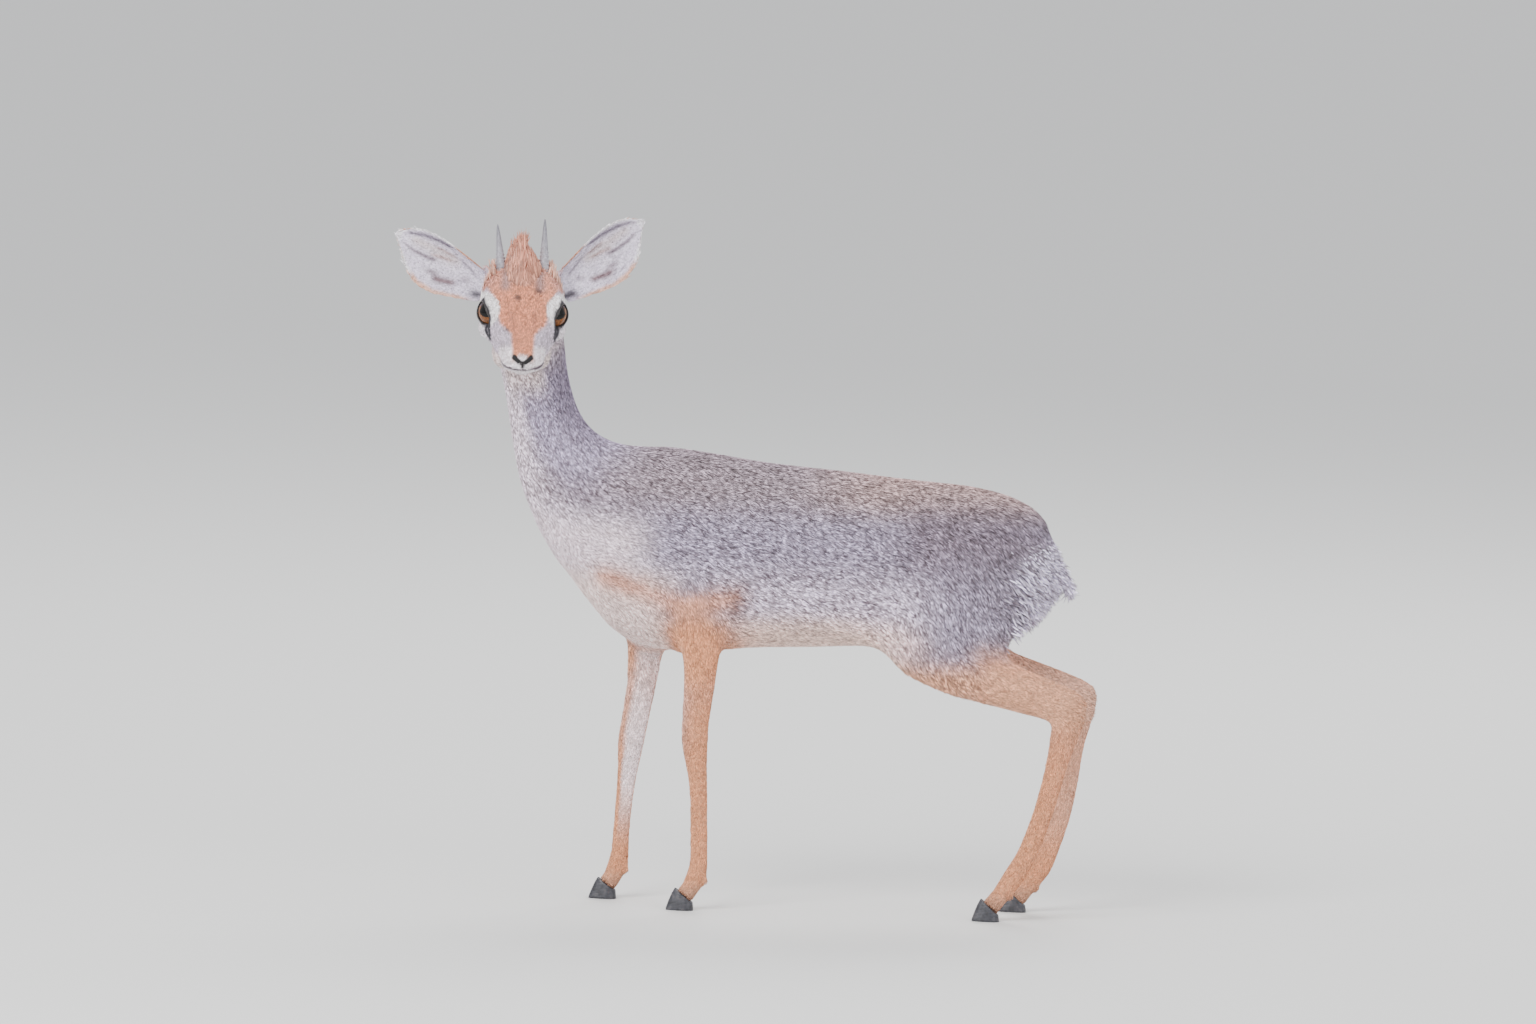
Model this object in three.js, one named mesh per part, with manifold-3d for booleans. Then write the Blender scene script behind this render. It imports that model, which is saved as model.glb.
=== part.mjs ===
import * as THREE from "three";
import { mergeVertices } from "three/addons/utils/BufferGeometryUtils.js";
import Module from "manifold-3d";

// A dik dik, a dwarf antelope, standing with its left side to the viewer and its head turned to look back.
// The animal faces minus X, its left is minus Y, and the soles stand on Z = 0. Sizes are millimetres.
const wasm = await Module();
wasm.setup();

const GAP = 0.3;
const WELD = 1e-3;
const HORN_LENGTH = 46.5;
const EYE_RADIUS = 12;
const SOLE = 0;

// The head is turned to the viewer, so its own left lies towards plus X.
const HEAD_RIGHT = -1;
const HEAD_LEFT = 1;
const HEAD_SIDES = [HEAD_RIGHT, HEAD_LEFT];

// On the body and the feet, the near side is the one towards the viewer, at minus Y.
const NEAR = -1;
const FAR = 1;
const BODY_SIDES = [NEAR, FAR];

const SKIN_GREY = "#97909c";
const NECK_GREY = "#a49cab";
const RUFOUS = "#cf9877";
const TAWNY = "#cb8f66";
const EAR_COLOUR = "#cfc4cc";
const HORN_COLOUR = "#6f6c76";
const HOOF_COLOUR = "#3e3d43";
const EYE_COLOUR = "#2a1710";

// Draws that repeat from one build to the next.
function seeded(seed) {
  let state = seed;
  return () => {
    state = (state * 1664525 + 1013904223) % 4294967296;
    return state / 4294967296;
  };
}

function vec(x, y, z) {
  return new THREE.Vector3(x, y, z);
}

// Rows of numbers, eased through as one smooth line.
function eased(rows, steps) {
  const out = [];
  for (let i = 0; i <= steps; i += 1) {
    const place = (i / steps) * (rows.length - 1);
    const k = Math.min(Math.floor(place), rows.length - 2);
    const t = place - k;
    const before = rows[Math.max(k - 1, 0)];
    const from = rows[k];
    const to = rows[k + 1];
    const after = rows[Math.min(k + 2, rows.length - 1)];
    out.push(
      from.map((value, n) => {
        const slopeIn = (to[n] - before[n]) / 2;
        const slopeOut = (after[n] - from[n]) / 2;
        const rise = to[n] - value;
        const square = 3 * rise - 2 * slopeIn - slopeOut;
        const cube = slopeIn + slopeOut - 2 * rise;
        return value + t * (slopeIn + t * (square + t * cube));
      }),
    );
  }
  return out;
}

// Rings of points, closed at both ends, as one solid.
function skinned(rings) {
  const sides = rings[0].length;
  const positions = [];
  const faces = [];
  rings.forEach((ring) => ring.forEach((point) => positions.push(point.x, point.y, point.z)));
  for (let r = 0; r < rings.length - 1; r += 1) {
    for (let s = 0; s < sides; s += 1) {
      const a = r * sides + s;
      const b = r * sides + ((s + 1) % sides);
      faces.push(a, b, b + sides, a, b + sides, a + sides);
    }
  }
  const close = (first, turn) => {
    const middle = vec(0, 0, 0);
    const ring = rings[first];
    ring.forEach((point) => middle.add(point));
    middle.multiplyScalar(1 / sides);
    const centre = positions.length / 3;
    positions.push(middle.x, middle.y, middle.z);
    for (let s = 0; s < sides; s += 1) {
      const a = first * sides + s;
      const b = first * sides + ((s + 1) % sides);
      faces.push(...(turn ? [b, a, centre] : [a, b, centre]));
    }
  };
  close(0, true);
  close(rings.length - 1, false);
  return toSolid(positions, faces);
}

function solidOf(positions, faces) {
  const mesh = new wasm.Mesh({
    numProp: 3,
    vertProperties: new Float32Array(positions),
    triVerts: new Uint32Array(faces),
  });
  return new wasm.Manifold(mesh);
}

// Welded points and faces as a solid, with every face turned if they all look inwards.
function toSolid(positions, faces) {
  const geometry = new THREE.BufferGeometry();
  geometry.setAttribute("position", new THREE.Float32BufferAttribute(positions, 3));
  geometry.setIndex(faces);
  const merged = mergeVertices(geometry, WELD);
  const places = merged.attributes.position.array;
  const corners = Array.from(merged.index.array);
  const made = solidOf(places, corners);
  return made.volume() > 0 ? made : solidOf(places, corners.reverse());
}

// A limb: each row is x, y, z of its middle, half its width along side, and half its depth the other way.
function limb(rows, { steps, sides, side = vec(0, 1, 0), grow = 0, square = 2 }) {
  const line = eased(rows, steps);
  const rings = line.map((row, i) => {
    const ahead = line[Math.min(i + 1, steps)];
    const behind = line[Math.max(i - 1, 0)];
    const along = vec(ahead[0] - behind[0], ahead[1] - behind[1], ahead[2] - behind[2]).normalize();
    const across = side.clone().addScaledVector(along, -side.dot(along)).normalize();
    const deep = vec(0, 0, 0).crossVectors(across, along);
    const ring = [];
    for (let s = 0; s < sides; s += 1) {
      const angle = (s / sides) * Math.PI * 2;
      const c = Math.cos(angle);
      const d = Math.sin(angle);
      const u = Math.sign(c) * Math.abs(c) ** (2 / square);
      const v = Math.sign(d) * Math.abs(d) ** (2 / square);
      ring.push(
        vec(row[0], row[1], row[2])
          .addScaledVector(across, u * (row[3] + grow))
          .addScaledVector(deep, v * (row[4] + grow)),
      );
    }
    return ring;
  });
  return skinned(rings);
}

// A ball with three half sizes, turned by a basis of three axes.
function ball(centre, sizes, axes, columns = 14, rowsDown = 9) {
  const rings = [];
  for (let i = 1; i < rowsDown; i += 1) {
    const polar = (i / rowsDown) * Math.PI;
    const ring = [];
    for (let s = 0; s < columns; s += 1) {
      const turn = (s / columns) * Math.PI * 2;
      ring.push(
        centre
          .clone()
          .addScaledVector(axes[0], sizes[0] * Math.sin(polar) * Math.cos(turn))
          .addScaledVector(axes[1], sizes[1] * Math.sin(polar) * Math.sin(turn))
          .addScaledVector(axes[2], sizes[2] * Math.cos(polar)),
      );
    }
    rings.push(ring);
  }
  return skinned(rings);
}

function joined(solids) {
  return solids.reduce((whole, piece) => whole.add(piece));
}

function largest(solid) {
  const pieces = solid.decompose();
  return pieces.reduce((best, piece) => (piece.volume() > best.volume() ? piece : best));
}

// The same body with points that all but touch welded, and only its outer surface kept.
function sound(solid) {
  const mesh = largest(solid).getMesh();
  return largest(toSolid(Array.from(mesh.vertProperties), Array.from(mesh.triVerts)));
}

// A thin flat cut, wide enough for one limb only.
function thinCut(centre, normal, reach) {
  const n = normal.clone().normalize();
  const start = centre.clone().addScaledVector(n, -GAP / 2);
  const end = centre.clone().addScaledVector(n, GAP / 2);
  const rows = [start, end].map((point) => [point.x, point.y, point.z, reach, reach]);
  const side = Math.abs(n.y) > 0.8 ? vec(1, 0, 0) : vec(0, 1, 0);
  return limb(rows, { steps: 1, sides: 24, side });
}

// A lock of hair: how far along, how wide and how thick, as parts of its length and half width.
const LOCK_SHAPE = [
  [0, 0.75, 0.3],
  [0.35, 1, 0.34],
  [0.7, 0.62, 0.24],
];
const LOCK_BEND = 0.4;
const LOCK_TIP = 0.12;

// A flat tapered lock that bends from its root towards its tip.
function lock(root, lean, bend, width, length) {
  const across = vec(0, 0, 0).crossVectors(lean, bend).normalize();
  const at = (t) => {
    const reached = root.clone().addScaledVector(lean, length * t);
    return reached.addScaledVector(bend, length * LOCK_BEND * t * t);
  };
  const rings = LOCK_SHAPE.map(([t, wide, thick]) => {
    const along = at(t + 0.05).sub(at(t)).normalize();
    const flat = vec(0, 0, 0).crossVectors(along, across).normalize();
    const middle = at(t);
    return [
      middle.clone().addScaledVector(across, width * wide),
      middle.clone().addScaledVector(flat, width * thick),
      middle.clone().addScaledVector(across, -width * wide),
      middle.clone().addScaledVector(flat, -width * thick),
    ];
  });
  const tip = at(1);
  const last = rings[rings.length - 1];
  rings.push(last.map((point) => tip.clone().lerp(point, LOCK_TIP)));
  return skinned(rings);
}

// The trunk: x, middle height, half width and half depth from breast to rump.
const TRUNK = [
  [-174, 0, 298, 8, 9],
  [-166, 0, 299, 22, 21],
  [-148, 0, 301, 36, 41],
  [-122, 0, 301, 46, 69],
  [-95, 0, 297, 51, 84],
  [-60, 0, 291, 54, 85],
  [-20, 0, 292, 55, 79],
  [20, 0, 291, 57, 75],
  [60, 0, 288, 57, 74],
  [88, 0, 290, 54, 71],
  [122, 0, 292, 51, 67],
  [158, 0, 292, 49, 64],
  [184, 0, 289, 46, 62],
  [205, 0, 285, 41, 57],
  [223, 0, 280, 33, 47],
  [237, 0, 276, 21, 29],
  [243, 0, 274, 7, 10],
];

// The neck: from inside the shoulders up to the back of the skull.
const NECK = [
  [-90, 0, 305, 40, 67],
  [-120, 0, 322, 41, 63],
  [-147, 0, 341, 37, 50],
  [-171, 0, 371, 31, 35],
  [-183, 0, 404, 26, 28.5],
  [-189, -3, 436, 25, 28.5],
  [-195, -9, 470, 25, 28],
  [-199, -14, 494, 20, 22],
];

// The head frame: forward along the muzzle, up from it, and out to the animal's left.
const HEAD_CENTRE = vec(-200.5, -32, 487);
const HEAD_PITCH = THREE.MathUtils.degToRad(24);
const MUZZLE = vec(0, -Math.cos(HEAD_PITCH), -Math.sin(HEAD_PITCH));
const CROWN = vec(0, -Math.sin(HEAD_PITCH), Math.cos(HEAD_PITCH));
const OUT = vec(1, 0, 0);
const MUZZLE_TURN = 0.03;

// The muzzle points a little to the animal's left of straight ahead.
function onHead(out, forward, up) {
  return HEAD_CENTRE.clone()
    .addScaledVector(OUT, out + MUZZLE_TURN * forward)
    .addScaledVector(MUZZLE, forward)
    .addScaledVector(CROWN, up);
}

// The skull: distance along the muzzle, height of the middle, half width and half depth.
const SKULL = [
  [-56, 2, 8, 9],
  [-51, 2, 20, 20],
  [-38, 2, 30, 29],
  [-20, 0, 34.5, 31.5],
  [-4, -3.5, 35.5, 28.5],
  [12, -6, 32.5, 24],
  [27, -7.5, 27, 20],
  [41, -8, 21.5, 17],
  [54, -8, 18, 14.5],
  [65, -8, 15.5, 12],
  [71, -8, 10.5, 8.5],
  [74, -8, 4, 3.5],
];

function skull() {
  const rows = SKULL.map(([forward, up, wide, deep]) => {
    const middle = onHead(0, forward, up);
    return [middle.x, middle.y, middle.z, wide, deep];
  });
  return limb(rows, { steps: 18, sides: 20, side: OUT, square: 2.4 });
}

// The eyes look out and a little forward, under a brow.
const EYE_OUT = 24.5;
const EYE_FORWARD = 3;
const EYE_UP = 1.5;

function eyeAxis(hand) {
  return vec(0, 0, 0)
    .addScaledVector(OUT, hand * 0.83)
    .addScaledVector(MUZZLE, 0.53)
    .addScaledVector(CROWN, 0.15)
    .normalize();
}

function eyeBall(hand, grow) {
  const axis = eyeAxis(hand);
  const level = vec(0, 0, 0).crossVectors(CROWN, axis).normalize();
  const high = vec(0, 0, 0).crossVectors(axis, level);
  const size = EYE_RADIUS + grow;
  const centre = onHead(hand * EYE_OUT, EYE_FORWARD, EYE_UP);
  return ball(centre, [size, size, size], [level, high, axis], 14, 9);
}

// The opening between the lids, almond in shape and slanting down to the tear pit.
const LID_FRONT = 12.2;
const LID_BACK = 10.4;
const LID_HIGH = 8.8;
const LID_SLANT = -0.3;
const LID_POINTS = 14;
const LID_SHELL = 2.2;

function lidOpening(hand) {
  const axis = eyeAxis(hand);
  const level = vec(0, 0, 0).crossVectors(CROWN, axis).normalize().multiplyScalar(-hand);
  const high = vec(0, 0, 0).crossVectors(axis, level).multiplyScalar(-hand);
  const centre = onHead(hand * EYE_OUT, EYE_FORWARD, EYE_UP);
  const ring = (depth, scale) => {
    const out = [];
    for (let i = 0; i < LID_POINTS; i += 1) {
      const angle = (i / LID_POINTS) * Math.PI * 2;
      const halfLong = Math.cos(angle) > 0 ? LID_FRONT : LID_BACK;
      const l = Math.cos(angle) * halfLong * scale;
      const h = Math.sin(angle) * LID_HIGH * scale * (1 - 0.2 * Math.abs(Math.cos(angle)));
      out.push(
        centre
          .clone()
          .addScaledVector(level, l)
          .addScaledVector(high, h + LID_SLANT * l)
          .addScaledVector(axis, depth),
      );
    }
    return out;
  };
  return skinned([ring(2, 0.8), ring(EYE_RADIUS + 6, 1.25)]);
}

// A thin groove along a bent line, such as the mouth.
function groove(points, width, depth) {
  const rows = points.map((point) => [point.x, point.y, point.z, width, depth]);
  return limb(rows, { steps: points.length * 2, sides: 6, side: vec(0, 0, 1) });
}

const CREST_SEED = 11;
const CREST_LOCKS = 26;
const CREST_HALF_WIDE = 14;
const CREST_HALF_LONG = 14;
const CREST_MIDDLE = -23;
const CREST_ROOT = 21;
const CREST_HEIGHT = 37;
const CREST_FALL = 17;
const TURN_BETWEEN = 2.4;

// The crest between the horns: pointed locks that rise and lean back in a cone, longest in the middle.
function crest() {
  const draw = seeded(CREST_SEED);
  const pieces = [];
  for (let i = 0; i < CREST_LOCKS; i += 1) {
    const turn = i * TURN_BETWEEN;
    const spread = Math.sqrt((i + 0.5) / CREST_LOCKS);
    const out = Math.cos(turn) * spread * CREST_HALF_WIDE;
    const back = Math.sin(turn) * spread * CREST_HALF_LONG;
    const root = onHead(out, CREST_MIDDLE + back, CREST_ROOT - Math.abs(out) * 0.2);
    const lean = vec(0, 0, 0)
      .addScaledVector(CROWN, 1)
      .addScaledVector(MUZZLE, -0.12 - back * 0.018 + (draw() - 0.5) * 0.1)
      .addScaledVector(OUT, (draw() - 0.5) * 0.1 - out * 0.004)
      .normalize();
    const bend = MUZZLE.clone().multiplyScalar(-0.6).addScaledVector(OUT, -out * 0.02);
    const length = CREST_HEIGHT - CREST_FALL * spread ** 1.6 + draw() * 3;
    pieces.push(lock(root, lean, bend, 4 + draw() * 0.9, length));
  }
  return pieces;
}

const TEMPLE_SEED = 31;
const TEMPLE_LOCKS = 5;
const TEMPLE_LENGTH = 11;

// Short tufts on the temples, between each horn and ear, carry the hairline out level.
function temples() {
  const draw = seeded(TEMPLE_SEED);
  const pieces = [];
  HEAD_SIDES.forEach((hand) => {
    for (let i = 0; i < TEMPLE_LOCKS; i += 1) {
      const t = i / (TEMPLE_LOCKS - 1);
      const root = onHead(hand * (20 + 7 * t), -24 - 7 * t, 21 - 8 * t);
      const lean = vec(0, 0, 0)
        .addScaledVector(CROWN, 1)
        .addScaledVector(MUZZLE, -0.35)
        .addScaledVector(OUT, hand * (0.05 + 0.32 * t + draw() * 0.1))
        .normalize();
      const bend = MUZZLE.clone().multiplyScalar(-0.5).addScaledVector(OUT, hand * 0.2);
      pieces.push(lock(root, lean, bend, 3.4, TEMPLE_LENGTH + draw() * 3));
    }
  });
  return pieces;
}

// Each horn is a ringed spike that leans back in line with the face. The left one is a little longer.
const HORN_OUT = 17;
const HORN_BACK = -20;
const HORN_UP = 20;
const HORN_UNEVEN = 3;
const HORN_TIP_OUT = { [HEAD_RIGHT]: 24, [HEAD_LEFT]: 14.6 };
const HORN_RADIUS = 4.2;
const HORN_TIP = 0.45;
const HORN_RING = 0.25;
const HORN_STEPS = 16;

function horn(hand, grow) {
  const base = onHead(hand * HORN_OUT, HORN_BACK, HORN_UP);
  const reach = HORN_LENGTH + hand * HORN_UNEVEN;
  const lean = vec(0, 0, 0)
    .addScaledVector(MUZZLE, -0.72)
    .addScaledVector(CROWN, 0.69)
    .normalize();
  const rows = [];
  for (let i = 0; i <= HORN_STEPS; i += 1) {
    const t = i / HORN_STEPS;
    const ringed = t < 0.55 ? HORN_RING * (i % 2) : 0;
    const radius = HORN_RADIUS * (1 - t) ** 0.7 + HORN_TIP + ringed;
    const middle = base
      .clone()
      .addScaledVector(lean, reach * t)
      .addScaledVector(CROWN, 3 * t * t)
      .addScaledVector(OUT, hand * (HORN_TIP_OUT[hand] - HORN_OUT) * t);
    rows.push([middle.x, middle.y, middle.z, radius, radius]);
  }
  return limb(rows, { steps: HORN_STEPS, sides: 8, side: OUT, grow });
}

// The ear: a leaf-shaped cup on a short tube, opening towards the viewer.
const EAR_ROOT = { out: 28, forward: -35, up: 5.5 };
const EAR_TIP = { [HEAD_RIGHT]: vec(-306, 12, 544), [HEAD_LEFT]: vec(-105, 12, 561) };
const EAR_CUT = 0.15;
const EAR_CUT_DROP = 4;
const EAR_CUT_REACH = 20;
const EAR_WALL = 1.5;
const EAR_ROUND = 1.25;
const EAR_STEPS = 12;
const EAR_ACROSS = 7;
const EAR_SHAPE = [
  [0, 9, 17, 7],
  [0.12, 9.5, 21.5, 9],
  [0.28, 12, 26, 12],
  [0.45, 14.5, 31, 12],
  [0.62, 16, 30, 9.5],
  [0.78, 15, 22, 6],
  [0.91, 10, 9.5, 2.5],
  [1, 1.5, 1.5, 0.5],
];

function earLine(hand) {
  const root = onHead(hand * EAR_ROOT.out, EAR_ROOT.forward, EAR_ROOT.up);
  return { root, along: EAR_TIP[hand].clone().sub(root) };
}

// The cut between an ear and the head lies a little low, as the ear's base does.
function earCut(hand) {
  const { root, along } = earLine(hand);
  const centre = root.clone().addScaledVector(along, EAR_CUT);
  centre.z -= EAR_CUT_DROP;
  return thinCut(centre, along, EAR_CUT_REACH);
}

function ear(hand) {
  const { root, along } = earLine(hand);
  const facing = vec(hand * 0.16, -0.97, -0.16).normalize();
  facing.addScaledVector(along, -facing.dot(along) / along.lengthSq()).normalize();
  const upward = vec(0, 0, 0).crossVectors(facing, along).normalize().multiplyScalar(hand);
  const rings = eased(EAR_SHAPE, EAR_STEPS).map(([t, high, low, cup]) => {
    const middle = root.clone().addScaledVector(along, t);
    const wall = EAR_WALL - 0.45 * t;
    const point = (s, offset) => {
      const half = s > 0 ? high : low;
      const spread = Math.sin(s * EAR_ROUND) / Math.sin(EAR_ROUND);
      return middle
        .clone()
        .addScaledVector(upward, half * spread)
        .addScaledVector(facing, cup * (s * s - 1) * 0.9 + offset);
    };
    const ring = [];
    for (let i = 0; i <= EAR_ACROSS; i += 1) {
      const s = -1 + (2 * i) / EAR_ACROSS;
      ring.push(point(s, wall * (1 - 0.5 * s * s)));
    }
    for (let i = EAR_ACROSS; i >= 0; i -= 1) {
      const s = -1 + (2 * i) / EAR_ACROSS;
      ring.push(point(s, -wall * (1 - 0.5 * s * s)));
    }
    return ring;
  });
  return skinned(rings);
}

const FORE_STEPS = 26;
const SHANK_STEPS = 20;

// A foreleg: where its foot and knee stand, and the shape down from shoulder to coronet.
const NEAR_FORE = {
  rows: [
    [-82, -26, 322, 20, 30],
    [-76, -31, 290, 22, 38],
    [-62, -34, 262, 19, 36],
    [-49, -34, 238, 15.5, 24],
    [-44.5, -33, 212, 12.5, 16.2],
    [-45.5, -32, 188, 10.8, 14],
    [-47.5, -31, 158, 9, 11.8],
    [-47.5, -31, 138, 9.8, 11.2],
    [-45.5, -31, 120, 8, 9],
    [-43, -31, 98, 6.6, 7.5],
    [-41.5, -31, 62, 6.4, 7.3],
    [-41, -31, 40, 7, 7.4],
    [-42.5, -31, 28, 8.4, 8.6],
    [-47.5, -31, 17.5, 8, 7.4],
    [-51.5, -31, 12, 8.3, 8],
  ],
};
const FAR_FORE = {
  rows: [
    [-98, 26, 322, 20, 30],
    [-97, 31, 290, 22, 38],
    [-94, 34, 262, 19, 34],
    [-91, 34, 238, 15.5, 24],
    [-90.5, 33, 212, 12.5, 17],
    [-92, 32, 188, 10.8, 14],
    [-96, 31, 158, 9, 11.8],
    [-100, 31, 132, 9.8, 11.4],
    [-101.5, 31, 113, 8, 9.2],
    [-103.5, 31, 90, 6.6, 7.5],
    [-105.5, 31, 58, 6.4, 7],
    [-106, 31, 40, 7, 7.4],
    [-107.5, 31, 28, 8.4, 8.6],
    [-112, 31, 17.5, 8, 7.4],
    [-115.5, 31, 12, 8.3, 8],
  ],
};

// The thighs fill out the rump, and the lower thigh runs back nearly level to the hock.
const NEAR_HIND = {
  thigh: [
    [206, -18, 326, 16, 16],
    [190, -24, 304, 25, 42],
    [170, -28, 274, 27, 58],
    [154, -31, 244, 23, 52],
    [140, -33, 222, 16, 34],
    [132, -34, 210, 8, 16],
  ],
  rows: [
    [104, -27, 246, 9, 16],
    [130, -32, 226, 17, 29],
    [166, -34, 209, 17, 27.5],
    [196, -35, 198, 14, 22],
    [222, -36, 189, 11, 19],
    [246, -36, 183, 9, 17],
    [262, -36, 178, 8.6, 15],
  ],
  shank: [
    [264, -36, 190, 7, 8],
    [260.5, -36, 178, 9, 14],
    [255.5, -36, 158, 8.8, 12.6],
    [251, -36, 138, 8, 9.8],
    [246.5, -36, 117, 7, 8.8],
    [239, -36, 88, 6.8, 8.4],
    [229.5, -35, 60, 6.9, 8.4],
    [223, -34.5, 46, 7.8, 8.8],
    [217, -34, 36, 8.6, 9],
    [209, -34, 24, 8, 7.6],
    [202.5, -34, 15, 8.2, 7.6],
    [199.5, -34, 11.5, 8.4, 8],
  ],
};
const FAR_HIND = {
  thigh: NEAR_HIND.thigh.map(([x, y, z, wide, deep]) => [x, -y, z, wide, deep]),
  rows: [
    [106, 27, 246, 9, 16],
    [133, 32, 226, 17, 29],
    [170, 34, 209, 17, 27],
    [202, 35, 198, 14, 21],
    [230, 36, 190, 11, 18],
    [255, 36, 183.5, 9, 16],
    [271, 36, 178, 8.6, 14],
  ],
  shank: [
    [273, 36, 190, 7, 8],
    [269.5, 36, 178, 9, 13.5],
    [265.5, 36, 158, 8.8, 12],
    [262.5, 36, 136, 8, 9.6],
    [260, 36, 108, 7, 8.7],
    [254.5, 36, 78, 6.8, 8.4],
    [247, 35, 54, 6.9, 8.4],
    [242.5, 34.5, 42, 7.8, 8.8],
    [238, 34, 34, 8.6, 9],
    [231, 34, 23.5, 8, 7.6],
    [225, 34, 15, 8.2, 7.6],
    [222, 34, 11.5, 8.4, 8],
  ],
};

// The tail hangs close against the rump.
const TAIL = [
  [228, 0, 312, 6, 5],
  [237, 0, 304, 7.5, 6],
  [245, 0, 291, 7.5, 6],
  [251, 0, 277, 6, 5],
  [254, 0, 266, 3, 3],
];

const TAIL_STEPS = 8;
const TAIL_SIDES = 8;
const TAIL_SEED = 5;
const TAIL_LOCKS = 9;

function dock(grow) {
  return limb(TAIL, { steps: TAIL_STEPS, sides: TAIL_SIDES, grow });
}

// The tail: its fleshy dock with locks that fall from its lower half.
function tail() {
  const draw = seeded(TAIL_SEED);
  const pieces = [dock(0)];
  const line = eased(TAIL, 40);
  for (let i = 0; i < TAIL_LOCKS; i += 1) {
    const t = 0.35 + (0.6 * i) / TAIL_LOCKS;
    const row = line[Math.round(t * 40)];
    const out = (i % 2 ? 1 : -1) * (1.5 + draw() * 3) * (1 - 0.6 * t);
    const root = vec(row[0], out, row[2]);
    const lean = vec(0.5 + draw() * 0.25, out * 0.07, -0.72).normalize();
    pieces.push(lock(root, lean, vec(-0.2, out * 0.03, -0.8), 2.7, 15 + draw() * 6));
  }
  return sound(joined(pieces));
}

// How far back the rump reaches at a height and a distance from the midline.
function rumpReach(height, out) {
  const level = (height - 280) / 74;
  const wide = out / 52;
  const left = Math.max(0, 1 - level * level * 1.2 - wide * wide);
  return 186 + 52 * Math.sqrt(left);
}

// Long bristling hair breaks the rear outline of the rump.
const RUMP_SEED = 23;
const RUMP_LOCKS = 20;
const RUMP_TOP = 318;
const RUMP_FALL = 84;

function rumpLocks() {
  const draw = seeded(RUMP_SEED);
  const pieces = [];
  for (let i = 0; i < RUMP_LOCKS; i += 1) {
    const hand = i % 2 ? FAR : NEAR;
    const fall = (i + draw()) / RUMP_LOCKS;
    const height = RUMP_TOP - RUMP_FALL * fall;
    const out = hand * (10 + draw() * 26 * (0.6 + 0.4 * fall));
    const root = vec(rumpReach(height, out) - 6, out, height);
    const lean = vec(0.62, hand * 0.12, -0.76).normalize();
    pieces.push(lock(root, lean, vec(0.05, hand * 0.1, -0.6), 3.3, 19 + draw() * 7));
  }
  return pieces;
}

// The two hooves of a foot: small, pointed and flat beneath, with a cleft between them.
const HOOF_SIDES = 12;
const HOOF_LEVELS = [1, 0.66, 0.33, 0];
const HOOF_HALF_WIDE = 4.1;
const HALF_CLEFT = 0.5;

function hoof(foot, slope, outward) {
  const rings = HOOF_LEVELS.map((high) => {
    const ring = [];
    const low = 1 - high;
    const toe = 8.2 + 7.6 * low;
    const heel = 7 + 0.8 * low;
    for (let s = 0; s < HOOF_SIDES; s += 1) {
      const angle = (s / HOOF_SIDES) * Math.PI * 2;
      const ahead = Math.cos(angle);
      const aside = Math.sin(angle);
      const reach = ahead > 0 ? toe : heel;
      const narrow = ahead > 0 ? 1 - 0.42 * ahead * ahead : 1;
      const wide = (HOOF_HALF_WIDE + 0.5 * low) * narrow;
      const inner = aside * outward < 0 ? 0.86 : 1.1;
      const x = foot.x - ahead * reach;
      const y = foot.y + outward * (HOOF_HALF_WIDE + HALF_CLEFT) + aside * wide * inner;
      const top = foot.z - (1.2 * GAP) / slope.z - ((x - foot.x) * slope.x) / slope.z;
      ring.push(vec(x, y, SOLE + (top - SOLE) * high));
    }
    return ring;
  });
  return skinned(rings);
}

// The small false hooves behind each fetlock.
function dewclaw(fetlock, outward) {
  const centre = vec(fetlock[0] + 7.2, fetlock[1] + outward * 4.6, fetlock[2] - 3.5);
  const axes = [vec(0.8, 0, -0.6), vec(0, 1, 0), vec(0.6, 0, 0.8)];
  return ball(centre, [2.6, 2, 3.6], axes, 6, 5);
}

const group = new THREE.Group();
group.name = "dik_dik";

function place(name, solid, colour, roughness = 0.9, metalness = 0) {
  const mesh = solid.getMesh();
  const geometry = new THREE.BufferGeometry();
  geometry.setAttribute("position", new THREE.Float32BufferAttribute(mesh.vertProperties, 3));
  geometry.setIndex(new THREE.BufferAttribute(mesh.triVerts, 1));
  geometry.computeVertexNormals();
  const material = new THREE.MeshStandardMaterial({ color: colour, roughness, metalness });
  const made = new THREE.Mesh(geometry, material);
  made.name = name;
  group.add(made);
}

const legs = {
  foreleg_left: NEAR_FORE,
  foreleg_right: FAR_FORE,
  hindleg_left: NEAR_HIND,
  hindleg_right: FAR_HIND,
};

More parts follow.
